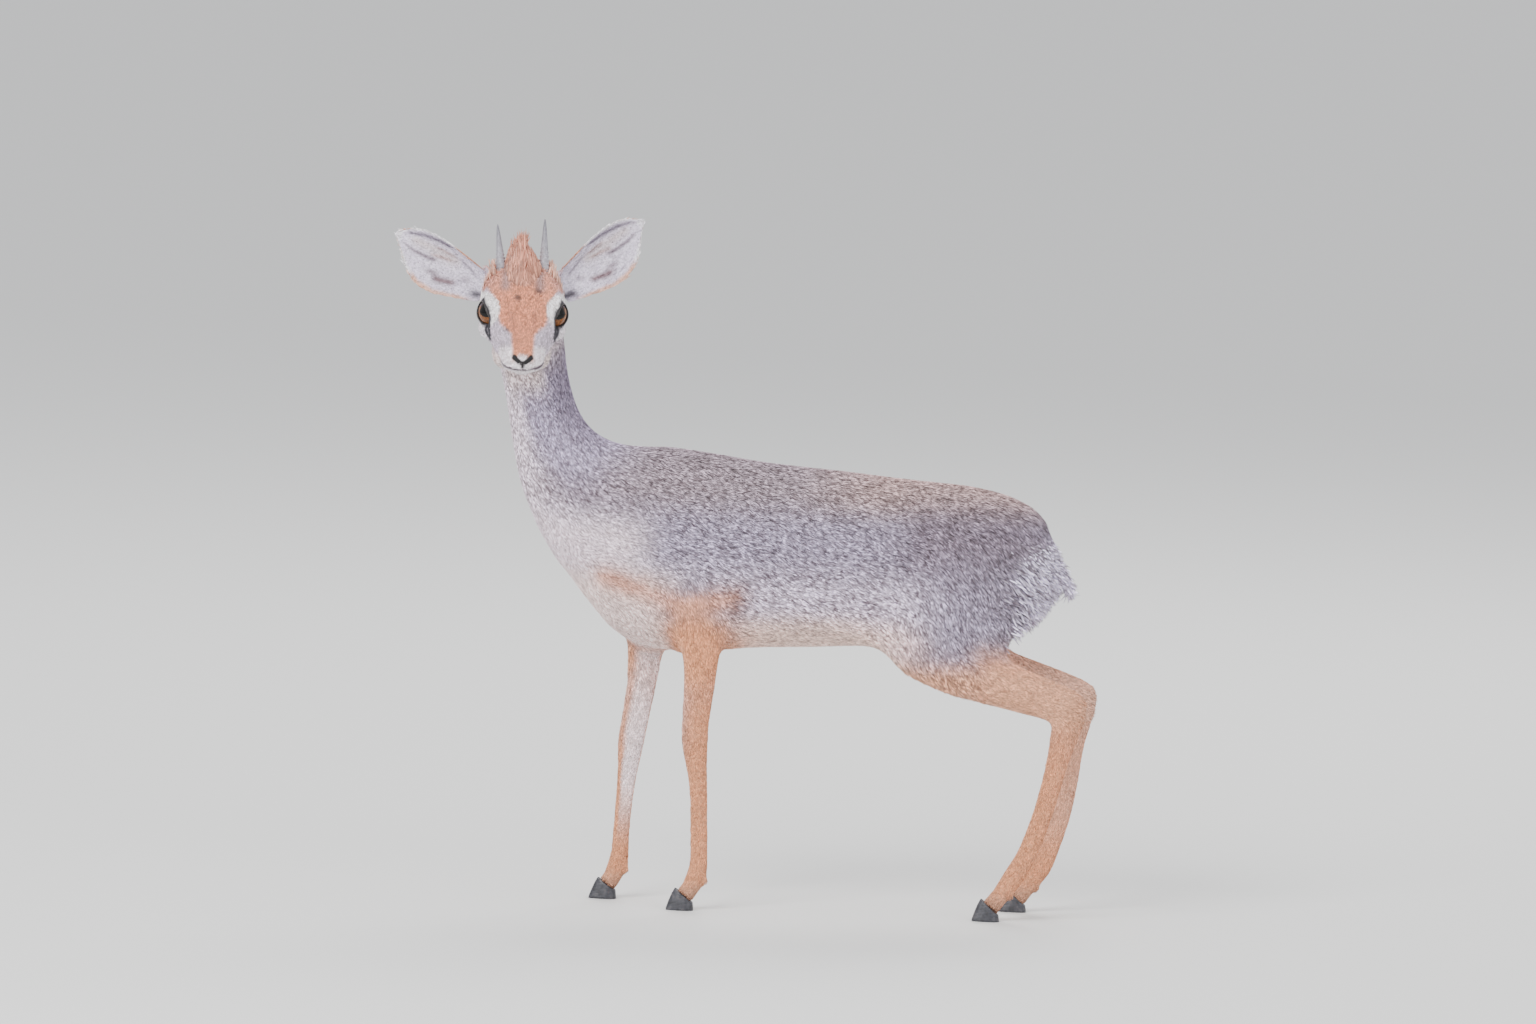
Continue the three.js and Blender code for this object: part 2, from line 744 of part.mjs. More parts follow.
// All flesh as one body, before the thin cuts part it.
const trunk = limb(TRUNK, { steps: 28, sides: 22, square: 2.12 });
const neck = limb(NECK, { steps: 14, sides: 18 });
let flesh = joined([trunk, neck, skull()]);
const cuts = [
  thinCut(vec(-150, 0, 346), vec(0.9, 0, -0.43), 62),
  thinCut(vec(-194, -4, 457), vec(0, -0.58, 0.81), 36),
  thinCut(vec(161, 0, 214), vec(0, 0, 1), 74),
];
const seeds = {
  head: onHead(0, 20, -8),
  neck: vec(-180, 0, 400),
  torso: vec(40, 0, 290),
};
const feet = {};
Object.entries(legs).forEach(([name, leg]) => {
  const y = leg.rows[leg.rows.length - 1][1];
  if (leg.shank) {
    flesh = flesh.add(limb(leg.thigh, { steps: 8, sides: 14 }));
    flesh = flesh.add(limb(leg.rows, { steps: 11, sides: 12 }));
    flesh = flesh.add(limb(leg.shank, { steps: SHANK_STEPS, sides: 10 }));
    const hock = leg.shank[3];
    cuts.push(thinCut(vec(hock[0], hock[1], hock[2] + 4), vec(0.22, 0, 0.97), 20));
    seeds[`${name}_upper`] = vec(leg.rows[5][0], leg.rows[5][1], leg.rows[5][2]);
  } else {
    flesh = flesh.add(limb(leg.rows, { steps: FORE_STEPS, sides: 10 }));
    cuts.push(thinCut(vec(leg.rows[4][0], leg.rows[4][1], 202), vec(0, 0, 1), 24));
    const knee = leg.rows[7];
    cuts.push(thinCut(vec(knee[0], knee[1], knee[2] - 8), vec(0, 0, 1), 20));
    seeds[`${name}_upper`] = vec(leg.rows[5][0], leg.rows[5][1], 180);
  }
  const down = leg.shank ?? leg.rows;
  const line = eased(down, leg.shank ? SHANK_STEPS : FORE_STEPS);
  const low = line[line.length - 1];
  const above = line[line.length - 2];
  const slope = vec(above[0] - low[0], 0, above[2] - low[2]).normalize();
  feet[name] = { at: vec(low[0], y, low[2]), slope };
  const cannon = down[down.length - 6];
  seeds[`${name}_lower`] = vec(cannon[0], cannon[1], cannon[2]);
  const fetlock = down[down.length - 3];
  BODY_SIDES.forEach((outward) => {
    flesh = flesh.add(dewclaw(fetlock, outward));
  });
});

// The features of the face are added to the flesh and then opened.
const FACE_AXES = [OUT, MUZZLE, CROWN];
HEAD_SIDES.forEach((hand) => {
  flesh = flesh.add(eyeBall(hand, LID_SHELL)).add(ear(hand));
  cuts.push(earCut(hand));
  const { root, along } = earLine(hand);
  const label = hand === HEAD_RIGHT ? "ear_right" : "ear_left";
  seeds[label] = root.clone().addScaledVector(along, 0.7);
  const lip = ball(onHead(hand * 9, 60, -10.5), [9.5, 12, 8], FACE_AXES, 10, 7);
  const cheekbone = ball(onHead(hand * 27, 6, -11), [9.5, 15, 8.5], FACE_AXES, 10, 7);
  const jaw = ball(onHead(hand * 13.5, 16, -28), [11.5, 20, 12], FACE_AXES, 10, 7);
  flesh = flesh.add(lip).add(cheekbone).add(jaw);
});
const chin = ball(onHead(0, 56, -17.5), [11.5, 12, 6.5], FACE_AXES, 10, 7);
const nose = ball(onHead(0, 66, -3), [8.5, 9, 6], FACE_AXES, 10, 7);
flesh = flesh.add(chin).add(nose);
HEAD_SIDES.forEach((hand) => {
  flesh = flesh.subtract(eyeBall(hand, GAP)).subtract(lidOpening(hand));
  flesh = flesh.subtract(horn(hand, GAP));
  const nostril = [
    onHead(hand * 0.8, 76, -6),
    onHead(hand * 4, 75, -3.2),
    onHead(hand * 7.5, 72, -1.2),
    onHead(hand * 10, 67.5, -1.2),
  ];
  flesh = flesh.subtract(groove(nostril, 1.6, 1.6));
  const tearPit = [
    onHead(hand * 29.5, 13, -1),
    onHead(hand * 29, 18, -6),
    onHead(hand * 28, 24, -11),
  ];
  flesh = flesh.subtract(groove(tearPit, 2, 2));
});

// The line of the mouth runs round the muzzle and turns up a little at its corners.
const MOUTH_TURN = 1.35;
const mouth = [];
for (let i = -4; i <= 4; i += 1) {
  const turn = (i / 4) * MOUTH_TURN;
  const up = -13.2 + 1.5 * Math.abs(i / 4);
  mouth.push(onHead(Math.sin(turn) * 15.5, 50 + Math.cos(turn) * 18.5, up));
}
flesh = flesh.subtract(groove(mouth, 1.1, 3));
cuts.forEach((cut) => {
  flesh = flesh.subtract(cut);
});
flesh = flesh.subtract(dock(GAP));

// Each parted piece takes the name of the seed point that lies within its bounds.
const parted = flesh.decompose().filter((piece) => piece.volume() > 200);
const pieces = {};
Object.entries(seeds).forEach(([name, seed]) => {
  let best = null;
  let bestSpan = Infinity;
  parted.forEach((piece) => {
    const box = piece.boundingBox();
    const inside = [seed.x, seed.y, seed.z].every((v, k) => v > box.min[k] && v < box.max[k]);
    const span = piece.volume();
    if (inside && span < bestSpan) {
      best = piece;
      bestSpan = span;
    }
  });
  pieces[name] = best;
});

let headLocks = joined([...crest(), ...temples()]);
HEAD_SIDES.forEach((hand) => {
  headLocks = headLocks.subtract(horn(hand, GAP)).subtract(earCut(hand));
});
pieces.head = sound(pieces.head.add(headLocks));
const tailSolid = tail();
const rump = joined(rumpLocks()).subtract(dock(GAP));
pieces.torso = sound(pieces.torso.add(rump).subtract(tailSolid));

place("head", pieces.head, RUFOUS);
place("neck", pieces.neck, NECK_GREY);
place("torso", pieces.torso, SKIN_GREY);
place("tail", tailSolid, SKIN_GREY);
HEAD_SIDES.forEach((hand) => {
  const label = hand === HEAD_RIGHT ? "right" : "left";
  place(`ear_${label}`, pieces[`ear_${label}`], EAR_COLOUR);
  place(`eye_${label}`, eyeBall(hand, 0), EYE_COLOUR, 0.1);
  place(`horn_${label}`, horn(hand, 0), HORN_COLOUR, 0.6);
});
Object.keys(legs).forEach((name) => {
  place(`${name}_upper`, pieces[`${name}_upper`], TAWNY);
  place(`${name}_lower`, pieces[`${name}_lower`], TAWNY);
  const { at, slope } = feet[name];
  place(`hoof_${name}_a`, hoof(at, slope, NEAR), HOOF_COLOUR, 0.5);
  place(`hoof_${name}_b`, hoof(at, slope, FAR), HOOF_COLOUR, 0.5);
});

// The origin goes to the middle of the animal's bounding box, at the level of the soles.
const extent = new THREE.Box3().setFromObject(group);
const middle = extent.getCenter(vec(0, 0, 0));
group.children.forEach((mesh) => mesh.geometry.translate(-middle.x, -middle.y, 0));

export default group;
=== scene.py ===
import math
from collections import namedtuple
import bmesh
import bpy
import numpy as np
from mathutils import Matrix, Vector
from mathutils.bvhtree import BVHTree
from mathutils.kdtree import KDTree


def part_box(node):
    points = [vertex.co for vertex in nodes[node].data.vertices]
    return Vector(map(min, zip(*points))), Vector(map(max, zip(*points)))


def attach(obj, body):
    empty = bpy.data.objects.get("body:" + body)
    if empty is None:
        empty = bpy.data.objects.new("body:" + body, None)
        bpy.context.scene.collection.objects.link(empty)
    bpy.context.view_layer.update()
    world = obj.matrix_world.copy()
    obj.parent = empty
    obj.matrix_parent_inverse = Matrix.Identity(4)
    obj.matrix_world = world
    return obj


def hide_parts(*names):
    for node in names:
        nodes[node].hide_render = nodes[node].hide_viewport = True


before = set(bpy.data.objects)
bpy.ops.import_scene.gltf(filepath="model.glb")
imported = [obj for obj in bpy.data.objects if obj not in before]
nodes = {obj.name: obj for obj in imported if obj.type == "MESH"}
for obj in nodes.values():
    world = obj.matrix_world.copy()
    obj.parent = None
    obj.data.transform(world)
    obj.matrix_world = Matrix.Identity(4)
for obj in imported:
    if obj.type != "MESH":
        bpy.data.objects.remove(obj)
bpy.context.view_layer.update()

# Placing: the animal's own sizes are in millimetres from a point between its feet, x back from the breast,
# y away from the viewer and z up. On the head, out is to the animal's left, forward runs along the muzzle
# and up through the crown. The left eye's ball tells where all this lies in the shared frame.
head_centre = np.array([-200.5, -32.0, 487.0])
head_pitch = math.radians(24.0)
head_out = np.array([1.0, 0.0, 0.0])
head_muzzle = np.array([0.0, -math.cos(head_pitch), -math.sin(head_pitch)])
head_crown = np.array([0.0, -math.sin(head_pitch), math.cos(head_pitch)])
muzzle_turn = 0.03
eye_spot = (24.5, 3.0, 1.5)


def on_head(out, forward, up):
    return head_centre + head_out * (out + muzzle_turn * forward) + head_muzzle * forward + head_crown * up


eye_box = np.array(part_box("eye_left")).reshape(2, 3)
origin = eye_box.mean(axis=0) - on_head(*eye_spot) * 0.001


def to_world(points):
    return np.asarray(points) * 0.001 + origin


def to_animal(points):
    return (np.asarray(points) - origin) * 1000.0


# Camera: a long lens about 20 m away, a little above the animal's back and tipped a little to one side.
# Its reach and lens are set so that one pixel of the frame spans 0.82 mm of the animal.
camera_reach = 20.0
view_down = math.radians(6.0)
view_roll = math.radians(2.0)
frame_pixels = 1536
pixel = 0.82
sensor = 36.0


def new_object(name, contents):
    made = bpy.data.objects.new(name, contents)
    bpy.context.scene.collection.objects.link(made)
    return made


aim = to_world([5.9, 0.0, 326.9])
level_right = np.array([1.0, 0.0, 0.0])
level_up = np.array([0.0, math.sin(view_down), math.cos(view_down)])
camera_right = math.cos(view_roll) * level_right + math.sin(view_roll) * level_up
camera_up = -math.sin(view_roll) * level_right + math.cos(view_roll) * level_up
camera_back = np.cross(camera_right, camera_up)
lens = bpy.data.cameras.new("camera")
lens.sensor_width = sensor
lens.lens = sensor * camera_reach / (frame_pixels * pixel * 0.001)
lens.clip_end = 60.0
camera = new_object("camera", lens)
camera_turn = Matrix([camera_right, camera_up, camera_back]).transposed()
camera.matrix_world = Matrix.Translation(Vector(aim + camera_back * camera_reach)) @ camera_turn.to_4x4()
bpy.context.scene.camera = camera

# Skin: the hide of the whole animal in one piece, over muscle and bone, with no seam.
# It is drawn from the solids of flesh, closed over their thin cuts, shaved of their locks, and lies below
# them by the coat's depth.
flesh_names = ["head", "neck", "torso", "tail", "ear_left", "ear_right"]
leg_names = ["foreleg_left", "foreleg_right", "hindleg_left", "hindleg_right"]
flesh_names += [f"{leg}_{part}" for leg in leg_names for part in ("upper", "lower")]
lock_thickness = {"head": 0.009, "torso": 0.009, "tail": 0.0055}
cut_cover = 0.0005
skin_grain = 0.0011
# Where locks can grow on the crown and on the rump, and past which height or length all of it is lock.
crest_foot = 11.0
crest_front = 6.0
temple_wide = 30.0
crest_clear = 33.0
rump_start = 196.0
rump_clear = 244.0


def coordinates(mesh):
    flat = np.empty(len(mesh.vertices) * 3)
    mesh.vertices.foreach_get("co", flat)
    return flat.reshape(-1, 3)


def as_floats(values):
    return np.ascontiguousarray(values, dtype=np.float32).ravel()


def set_coordinates(mesh, points):
    mesh.vertices.foreach_set("co", as_floats(points))
    mesh.update()


def vertex_normals(mesh):
    flat = np.empty(len(mesh.vertices) * 3)
    mesh.vertex_normals.foreach_get("vector", flat)
    return flat.reshape(-1, 3)


def smoothstep(value, low, high):
    t = np.clip((value - low) / (high - low), 0.0, 1.0)
    return t * t * (3.0 - 2.0 * t)


def node_copy(name):
    piece = bmesh.new()
    piece.from_mesh(nodes[name].data)
    piece.transform(nodes[name].matrix_world)
    bmesh.ops.remove_doubles(piece, verts=piece.verts, dist=1e-6)
    return piece


def lock_corners(name, piece):
    facets = BVHTree.FromBMesh(piece)
    locks = set()
    for vertex in piece.verts:
        place = to_animal(vertex.co)
        from_skull = place - head_centre
        high = from_skull @ head_crown
        no_lock = False
        all_lock = False
        if name == "head":
            wide = abs(from_skull @ head_out)
            no_lock = high < crest_foot or from_skull @ head_muzzle > crest_front or wide > temple_wide
            all_lock = high > crest_clear
        if name == "torso":
            no_lock = place[0] < rump_start
            all_lock = place[0] > rump_clear
        if no_lock:
            continue
        hit = facets.ray_cast(vertex.co - vertex.normal * 0.0001, -vertex.normal, lock_thickness[name])
        if hit[0] is not None or all_lock:
            locks.add(vertex.index)
    for sweep in range(4):
        for vertex in piece.verts:
            beside = [edge.other_vert(vertex).index in locks for edge in vertex.link_edges]
            if vertex.index not in locks and sum(beside) > 0.6 * len(beside):
                locks.add(vertex.index)
    return locks


def shave(piece, locks):
    firm = KDTree(len(piece.verts))
    for vertex in piece.verts:
        if vertex.index not in locks:
            firm.insert(vertex.co, vertex.index)
    firm.balance()
    for vertex in piece.verts:
        if vertex.index in locks:
            vertex.co = firm.find(vertex.co)[0]
    piece.normal_update()


def evaluated_mesh(finished):
    graph = bpy.context.evaluated_depsgraph_get()
    return bpy.data.meshes.new_from_object(finished.evaluated_get(graph))


joined = bmesh.new()
for name in flesh_names:
    piece = node_copy(name)
    piece.normal_update()
    if name in lock_thickness:
        shave(piece, lock_corners(name, piece))
    for vertex in piece.verts:
        vertex.co += vertex.normal * cut_cover
    piece_mesh = bpy.data.meshes.new("flesh_part")
    piece.to_mesh(piece_mesh)
    joined.from_mesh(piece_mesh)
    piece.free()
    bpy.data.meshes.remove(piece_mesh)
flesh_mesh = bpy.data.meshes.new("flesh")
joined.to_mesh(flesh_mesh)
joined.free()
flesh = new_object("flesh", flesh_mesh)
remesh = flesh.modifiers.new("closed", "REMESH")
remesh.mode = "VOXEL"
remesh.voxel_size = skin_grain
fine_mesh = evaluated_mesh(flesh)
bpy.data.objects.remove(flesh)

# The bones that the hide lies round: where each runs, how far its flesh reaches, which way the hair on it
# points, how deep the coat is, and how long and wide its hairs lie.
Bone = namedtuple("Bone", "name start end reach lie depth length width")
bones = [
    ("torso", (-120, 0, 300), (212, 0, 288), 64, (1.0, 0.0, -0.42), 1.1, 7.5, 0.8),
    ("breast", (-150, 0, 305), (-95, 0, 240), 44, (0.62, 0.0, -0.78), 1.1, 7.0, 0.75),
    ("neck", (-190, -3, 448), (-146, 0, 345), 30, (0.43, 0.0, -0.9), 0.9, 6.0, 0.7),
    ("skull", on_head(0, -34, 2), on_head(0, 22, -6), 32, tuple(-head_muzzle), 0.7, 3.6, 0.5),
    ("muzzle", on_head(0, 36, -8), on_head(0, 70, -8), 16, tuple(-head_muzzle), 0.5, 2.2, 0.4),
    ("ear_right", (-234, -2, 506), (-306, 12, 544), 18, (-0.88, 0.1, 0.46), 0.25, 4.5, 0.45),
    ("ear_left", (-168, -2, 506), (-105, 12, 561), 18, (0.75, 0.1, 0.65), 0.25, 4.5, 0.45),
    ("tail", (237, 0, 304), (254, 0, 268), 8, (0.35, 0.0, -0.94), 1.0, 13.0, 0.9),
    ("rump", (206, 0, 300), (222, 0, 262), 40, (0.55, 0.0, -0.84), 1.3, 12.0, 0.9),
    ("foreleg", (-62, -34, 262), (-45, -33, 212), 22, (0.1, 0.0, -1.0), 0.9, 6.0, 0.7),
    ("foreleg", (-94, 34, 262), (-90, 33, 212), 22, (0.1, 0.0, -1.0), 0.9, 6.0, 0.7),
    ("shin", (-45, -32, 200), (-41, -31, 34), 9, (0.04, 0.0, -1.0), 0.5, 4.2, 0.6),
    ("shin", (-91, 32, 200), (-106, 31, 34), 9, (-0.08, 0.0, -1.0), 0.5, 4.2, 0.6),
    ("foot", (-42, -31, 28), (-51, -31, 10), 8, (-0.5, 0.0, -0.86), 0.5, 3.4, 0.55),
    ("foot", (-107, 31, 28), (-115, 31, 10), 8, (-0.5, 0.0, -0.86), 0.5, 3.4, 0.55),
]
for hand, shift in ((-1, 0), (1, 7)):
    y = hand * 34
    bones += [
        ("thigh", (178, hand * 26, 290), (150, y, 236), 46, (0.5, 0.0, -0.87), 1.1, 7.5, 0.8),
        ("gaskin", (136, y, 224), (258 + shift, y, 182), 19, (0.93, 0.0, -0.36), 0.8, 5.5, 0.7),
        ("shin", (259 + shift, y, 172), (225 + 2.6 * shift, y, 48), 9, (-0.24, 0.0, -0.97), 0.5, 4.2, 0.6),
        ("foot", (217 + 3 * shift, y, 36), (201 + 3 * shift, y, 12), 8, (-0.6, 0.0, -0.8), 0.5, 3.4, 0.55),
    ]
bones = [Bone(*bone) for bone in bones]


def segment_gap(points, start, end):
    start = np.asarray(start, dtype=float)
    run = np.asarray(end, dtype=float) - start
    along = np.clip((points - start) @ run / (run @ run), 0.0, 1.0)
    return np.linalg.norm(points - start - along[:, None] * run, axis=1)


def bone_weights(points):
    nearness = []
    for bone in bones:
        gap = segment_gap(points, bone.start, bone.end) / bone.reach
        nearness.append(1.0 / (0.02 + gap**5))
    weights = np.array(nearness).T
    return weights / weights.sum(axis=1, keepdims=True)


def share(weights, *names):
    return weights[:, [bone.name in names for bone in bones]].sum(axis=1)


# The body's hide needs fewer facets than the head's, and none with an edge that would show.
kept_share = 0.19
longest_edge = 0.0038
hide = new_object("skin", fine_mesh)
fine_points = to_animal(coordinates(fine_mesh))
fine_weights = bone_weights(fine_points)
face_share = share(fine_weights, "skull", "muzzle")
slim_share = share(fine_weights, "ear_right", "ear_left", "shin", "foot")
coarse = hide.vertex_groups.new(name="coarse")
on_fine = smoothstep(face_share, 0.15, 0.6)
on_slim = smoothstep(slim_share, 0.15, 0.6)
levels = np.round(1.0 - 0.85 * on_fine - 0.35 * on_slim, 1)
for level in np.unique(levels):
    coarse.add(np.flatnonzero(levels == level).tolist(), float(level), "REPLACE")
thinned = hide.modifiers.new("thinned", "DECIMATE")
thinned.ratio = kept_share
thinned.vertex_group = "coarse"
skin_mesh = evaluated_mesh(hide)
bpy.data.objects.remove(hide)
skin_mesh.name = "skin"
dense = bmesh.new()
dense.from_mesh(skin_mesh)
for sweep in range(2):
    long_edges = [edge for edge in dense.edges if edge.calc_length() > longest_edge]
    bmesh.ops.subdivide_edges(dense, edges=long_edges, cuts=1)
    bmesh.ops.triangulate(dense, faces=dense.faces)
dense.to_mesh(skin_mesh)
dense.free()

# Facets are eased out, most on the broad body and least on the face and ears.
points = to_animal(coordinates(skin_mesh))
weights = bone_weights(points)
edges = np.empty(len(skin_mesh.edges) * 2, dtype=np.int64)
skin_mesh.edges.foreach_get("vertices", edges)
edges = edges.reshape(-1, 2)
count = len(points)
degree = np.bincount(edges.ravel(), minlength=count)
broad = share(weights, "torso", "breast", "neck", "thigh", "rump")
slim = share(weights, "foreleg", "shin", "foot", "gaskin", "tail")
broad_rounds = 60
slim_rounds = 14
fine_rounds = 4
girth_rounds = 90
under_coat = 0.35


def beside(values):
    total = np.bincount(edges[:, 0], values[edges[:, 1]], count)
    return (total + np.bincount(edges[:, 1], values[edges[:, 0]], count)) / degree


uneased = points.copy()
for step in range(broad_rounds):
    strength = 0.6 * broad
    if step < slim_rounds:
        strength = strength + 0.5 * slim
    if step < fine_rounds:
        strength = strength + 0.35 * (1.0 - broad - slim)
    around = np.column_stack([beside(points[:, axis]) for axis in range(3)])
    points = points + strength[:, None] * (around - points)
set_coordinates(skin_mesh, to_world(points))
normals = vertex_normals(skin_mesh)

# The girth that the easing took off is given back, and the hide goes below the solids by the coat's depth.
lost = ((uneased - points) * normals).sum(axis=1)
for step in range(girth_rounds):
    lost = 0.1 * lost + 0.9 * beside(lost)
depth = weights @ np.array([bone.depth for bone in bones])
points = points + normals * (lost - depth - under_coat)[:, None]


def head_places(points):
    from_centre = points - head_centre
    forward = from_centre @ head_muzzle
    return from_centre @ head_out - muzzle_turn * forward, forward, from_centre @ head_crown


eye_aim = np.array([0.83, 0.53, 0.15])


def eye_frame(hand):
    axis = head_out * hand * eye_aim[0] + head_muzzle * eye_aim[1] + head_crown * eye_aim[2]
    axis /= np.linalg.norm(axis)
    level = np.cross(head_crown, axis) * -hand
    level /= np.linalg.norm(level)
    high = np.cross(axis, level) * -hand
    return on_head(hand * eye_spot[0], *eye_spot[1:]), axis, level, high


def path_gap(points, path):
    nearest = np.full(len(points), 1e9)
    for start, end in zip(path[:-1], path[1:]):
        nearest = np.minimum(nearest, segment_gap(points, start, end))
    return nearest


# The lids lie close on the eyeball, and the hide turns in behind them.
lid_outside = 12.9
lid_inside = 10.9
lid_reach = 15.5
for hand in (-1, 1):
    centre, axis, level, high = eye_frame(hand)
    from_eye = points - centre
    radius = np.linalg.norm(from_eye, axis=1)
    facing = (from_eye * normals).sum(axis=1) / radius
    outer = smoothstep(facing, -0.5, 0.35)
    wanted = lid_inside * (1.0 - outer) + np.maximum(radius, lid_outside) * outer
    near = (radius < lid_reach) & ((from_eye @ axis > -2.0) | (facing < 0.0))
    points[near] = (centre + from_eye * (wanted / radius)[:, None])[near]

# Creases and ridges of the hide: a path, how wide it is, and how far it rises or sinks.
creases = [
    ([(-22, -42, 268), (-30, -44, 255), (-40, -46, 246)], 5.0, -2.6),
    ([(-128, -30, 276), (-96, -46, 268), (-60, -52, 262), (-24, -48, 262)], 9.0, -1.6),
    ([(-118, -44, 330), (-104, -50, 306), (-84, -52, 286)], 13.0, 1.8),
    ([(96, -42, 262), (112, -46, 246), (126, -44, 232)], 9.0, -3.0),
    ([(132, -52, 300), (122, -52, 276), (116, -50, 256)], 14.0, -2.2),
    ([(178, -46, 296), (168, -50, 268), (158, -50, 246)], 20.0, 2.0),
    ([(150, -46, 216), (186, -44, 208), (216, -42, 198)], 6.0, -1.3),
    ([(252, -45, 160), (246, -43, 128), (238, -43, 96), (230, -42, 66)], 2.2, -1.2),
    ([(-40, -38, 108), (-38, -38, 82), (-37, -38, 56)], 1.8, -0.8),
    ([(-168, -26, 330), (-150, -36, 318), (-128, -46, 306)], 12.0, -1.8),
]
brow = [(24, -12, 19), (29, -3, 17), (27, 7, 13)]
cheek = [(31, 2, -22), (26, 22, -20), (20, 38, -18)]


def shape_hide(points, path, wide, rise):
    return points + normals * (rise * np.exp(-((path_gap(points, path) / wide) ** 2)))[:, None]


for path, wide, rise in creases:
    for hand in (-1, 1):
        points = shape_hide(points, [(x, -hand * y, z) for x, y, z in path], wide, rise)
for hand in (-1, 1):
    points = shape_hide(points, [on_head(hand * out, forward, up) for out, forward, up in brow], 4.5, 1.6)
    points = shape_hide(points, [on_head(hand * out, forward, up) for out, forward, up in cheek], 5.0, -1.2)
set_coordinates(skin_mesh, to_world(points))
skin = new_object("skin", skin_mesh)


def smooth_faces(mesh):
    for polygon in mesh.polygons:
        polygon.use_smooth = True


smooth_faces(skin_mesh)

# An unwrap of the hide's own shape.
bpy.context.view_layer.objects.active = skin
skin.select_set(True)
bpy.ops.object.mode_set(mode="EDIT")
bpy.ops.mesh.select_all(action="SELECT")
bpy.ops.uv.smart_project(angle_limit=math.radians(66.0), island_margin=0.002)
bpy.ops.object.mode_set(mode="OBJECT")
skin_mesh.uv_layers[0].name = "OFBake"

# Colours of the coat, by place: grizzled grey on the body, paler beneath, rufous on the face and legs, with
# painted shade under the shoulder, in the elbow crease and down the sides of the nose bridge, and some
# painted light on the forward-facing breast.
# Both sides are marked alike, so most places are read on one side of the body and of the head.
normals = vertex_normals(skin_mesh)
out, forward, up = head_places(points)
aside = np.abs(out)
face = np.column_stack([aside, forward, up])
x, y, z = points.T
side_view = np.column_stack([x, np.abs(y), z])
front_up = 0.866 * up - 0.5 * forward
on_face = share(weights, "skull", "muzzle")
on_ear = share(weights, "ear_right", "ear_left")
on_leg = share(weights, "foreleg", "shin", "foot", "gaskin")
on_body = share(weights, "torso", "breast", "rump", "thigh")
on_neck = share(weights, "neck")
on_tail = share(weights, "tail")


def linear(red, green, blue):
    channels = np.array([red, green, blue]) / 255.0
    return np.where(channels <= 0.04045, channels / 12.92, ((channels + 0.055) / 1.055) ** 2.4)


coat = np.tile(linear(166, 155, 176), (len(points), 1))


def tint(mask, red, green, blue):
    coat[:] = coat + np.clip(mask, 0.0, 1.0)[:, None] * (linear(red, green, blue) - coat)


def near_to(places, path, wide):
    return np.exp(-((path_gap(places, path) / wide) ** 2))


faces_front = smoothstep(-normals[:, 0], 0.2, 0.8)
faces_back = smoothstep(normals[:, 0], 0.1, 0.8)
faces_viewer = smoothstep(-normals[:, 1], 0.2, 0.8)
shoulder_shade_path = [(-128, 36, 276), (-96, 50, 264), (-60, 54, 256), (-24, 48, 262)]
saddle = [(140, 40, 316), (190, 36, 312), (216, 30, 300)]
tint(on_body * smoothstep(z, 316, 350), 160, 144, 152)
tint(on_body * smoothstep(z, 322, 352) * smoothstep(x, 10, 110), 186, 158, 154)
tint(on_body * smoothstep(z, 304, 258) * smoothstep(x, 170, 96), 214, 200, 218)
tint(on_body * smoothstep(z, 256, 232) * smoothstep(x, 150, 104), 236, 208, 204)
tint(on_body * smoothstep(normals[:, 2], -0.3, -0.8), 230, 200, 188)
tint(0.85 * on_body * near_to(side_view, saddle, 32.0), 126, 110, 122)
tint((on_body + on_tail) * smoothstep(x, 170, 215) * smoothstep(z, 316, 282), 152, 142, 160)
tint(on_tail, 222, 214, 232)
tint(on_neck, 182, 170, 196)
# Breast and front of the neck paler on the surfaces that face forward: partly their own paler hair, partly
# painted light on the side that faces forward.
tint((on_neck + on_body) * faces_front * smoothstep(x, -90, -130), 232, 216, 228)
tint(on_neck * faces_back, 146, 134, 156)
throat = smoothstep(z, 414, 440) * faces_viewer * smoothstep(-normals[:, 0], -0.5, 0.1)
tint(on_neck * throat, 246, 226, 220)
tint(smoothstep(x, -78, -118) * (on_body + on_neck) * smoothstep(z, 342, 306), 246, 228, 238)
tint(on_body * smoothstep(x, -52, -96) * smoothstep(z, 292, 264), 250, 226, 222)
# Painted shade: an orange-brown band under the shoulder muscle, along the fold from the breast to the elbow.
tint(0.9 * near_to(side_view, shoulder_shade_path, 10.0), 220, 158, 132)
tint(share(weights, "foreleg") * smoothstep(z, 268, 248), 228, 160, 120)
# Painted shade: a dark line in the elbow crease.
tint(0.9 * near_to(side_view, [(-18, 48, 272), (-22, 46, 250)], 5.5), 110, 76, 66)
inner_side = smoothstep(-np.sign(y) * normals[:, 1], -0.1, 0.6)
behind = smoothstep(normals[:, 0], -0.75, -0.2)
tint(on_leg * smoothstep(z, 250, 232), 226, 156, 113)
tint(share(weights, "gaskin", "thigh") * smoothstep(z, 222, 200), 226, 168, 134)
tint(0.5 * share(weights, "gaskin") * smoothstep(z, 212, 230), 200, 170, 166)
tint(on_leg * inner_side * behind * smoothstep(z, 40, 110) * smoothstep(x, 200, 120), 255, 238, 240)
tint(0.25 * on_leg * inner_side * smoothstep(z, 40, 90) * smoothstep(x, 120, 200), 238, 214, 204)
tint(on_leg * smoothstep(z, 30, 12), 196, 146, 118)

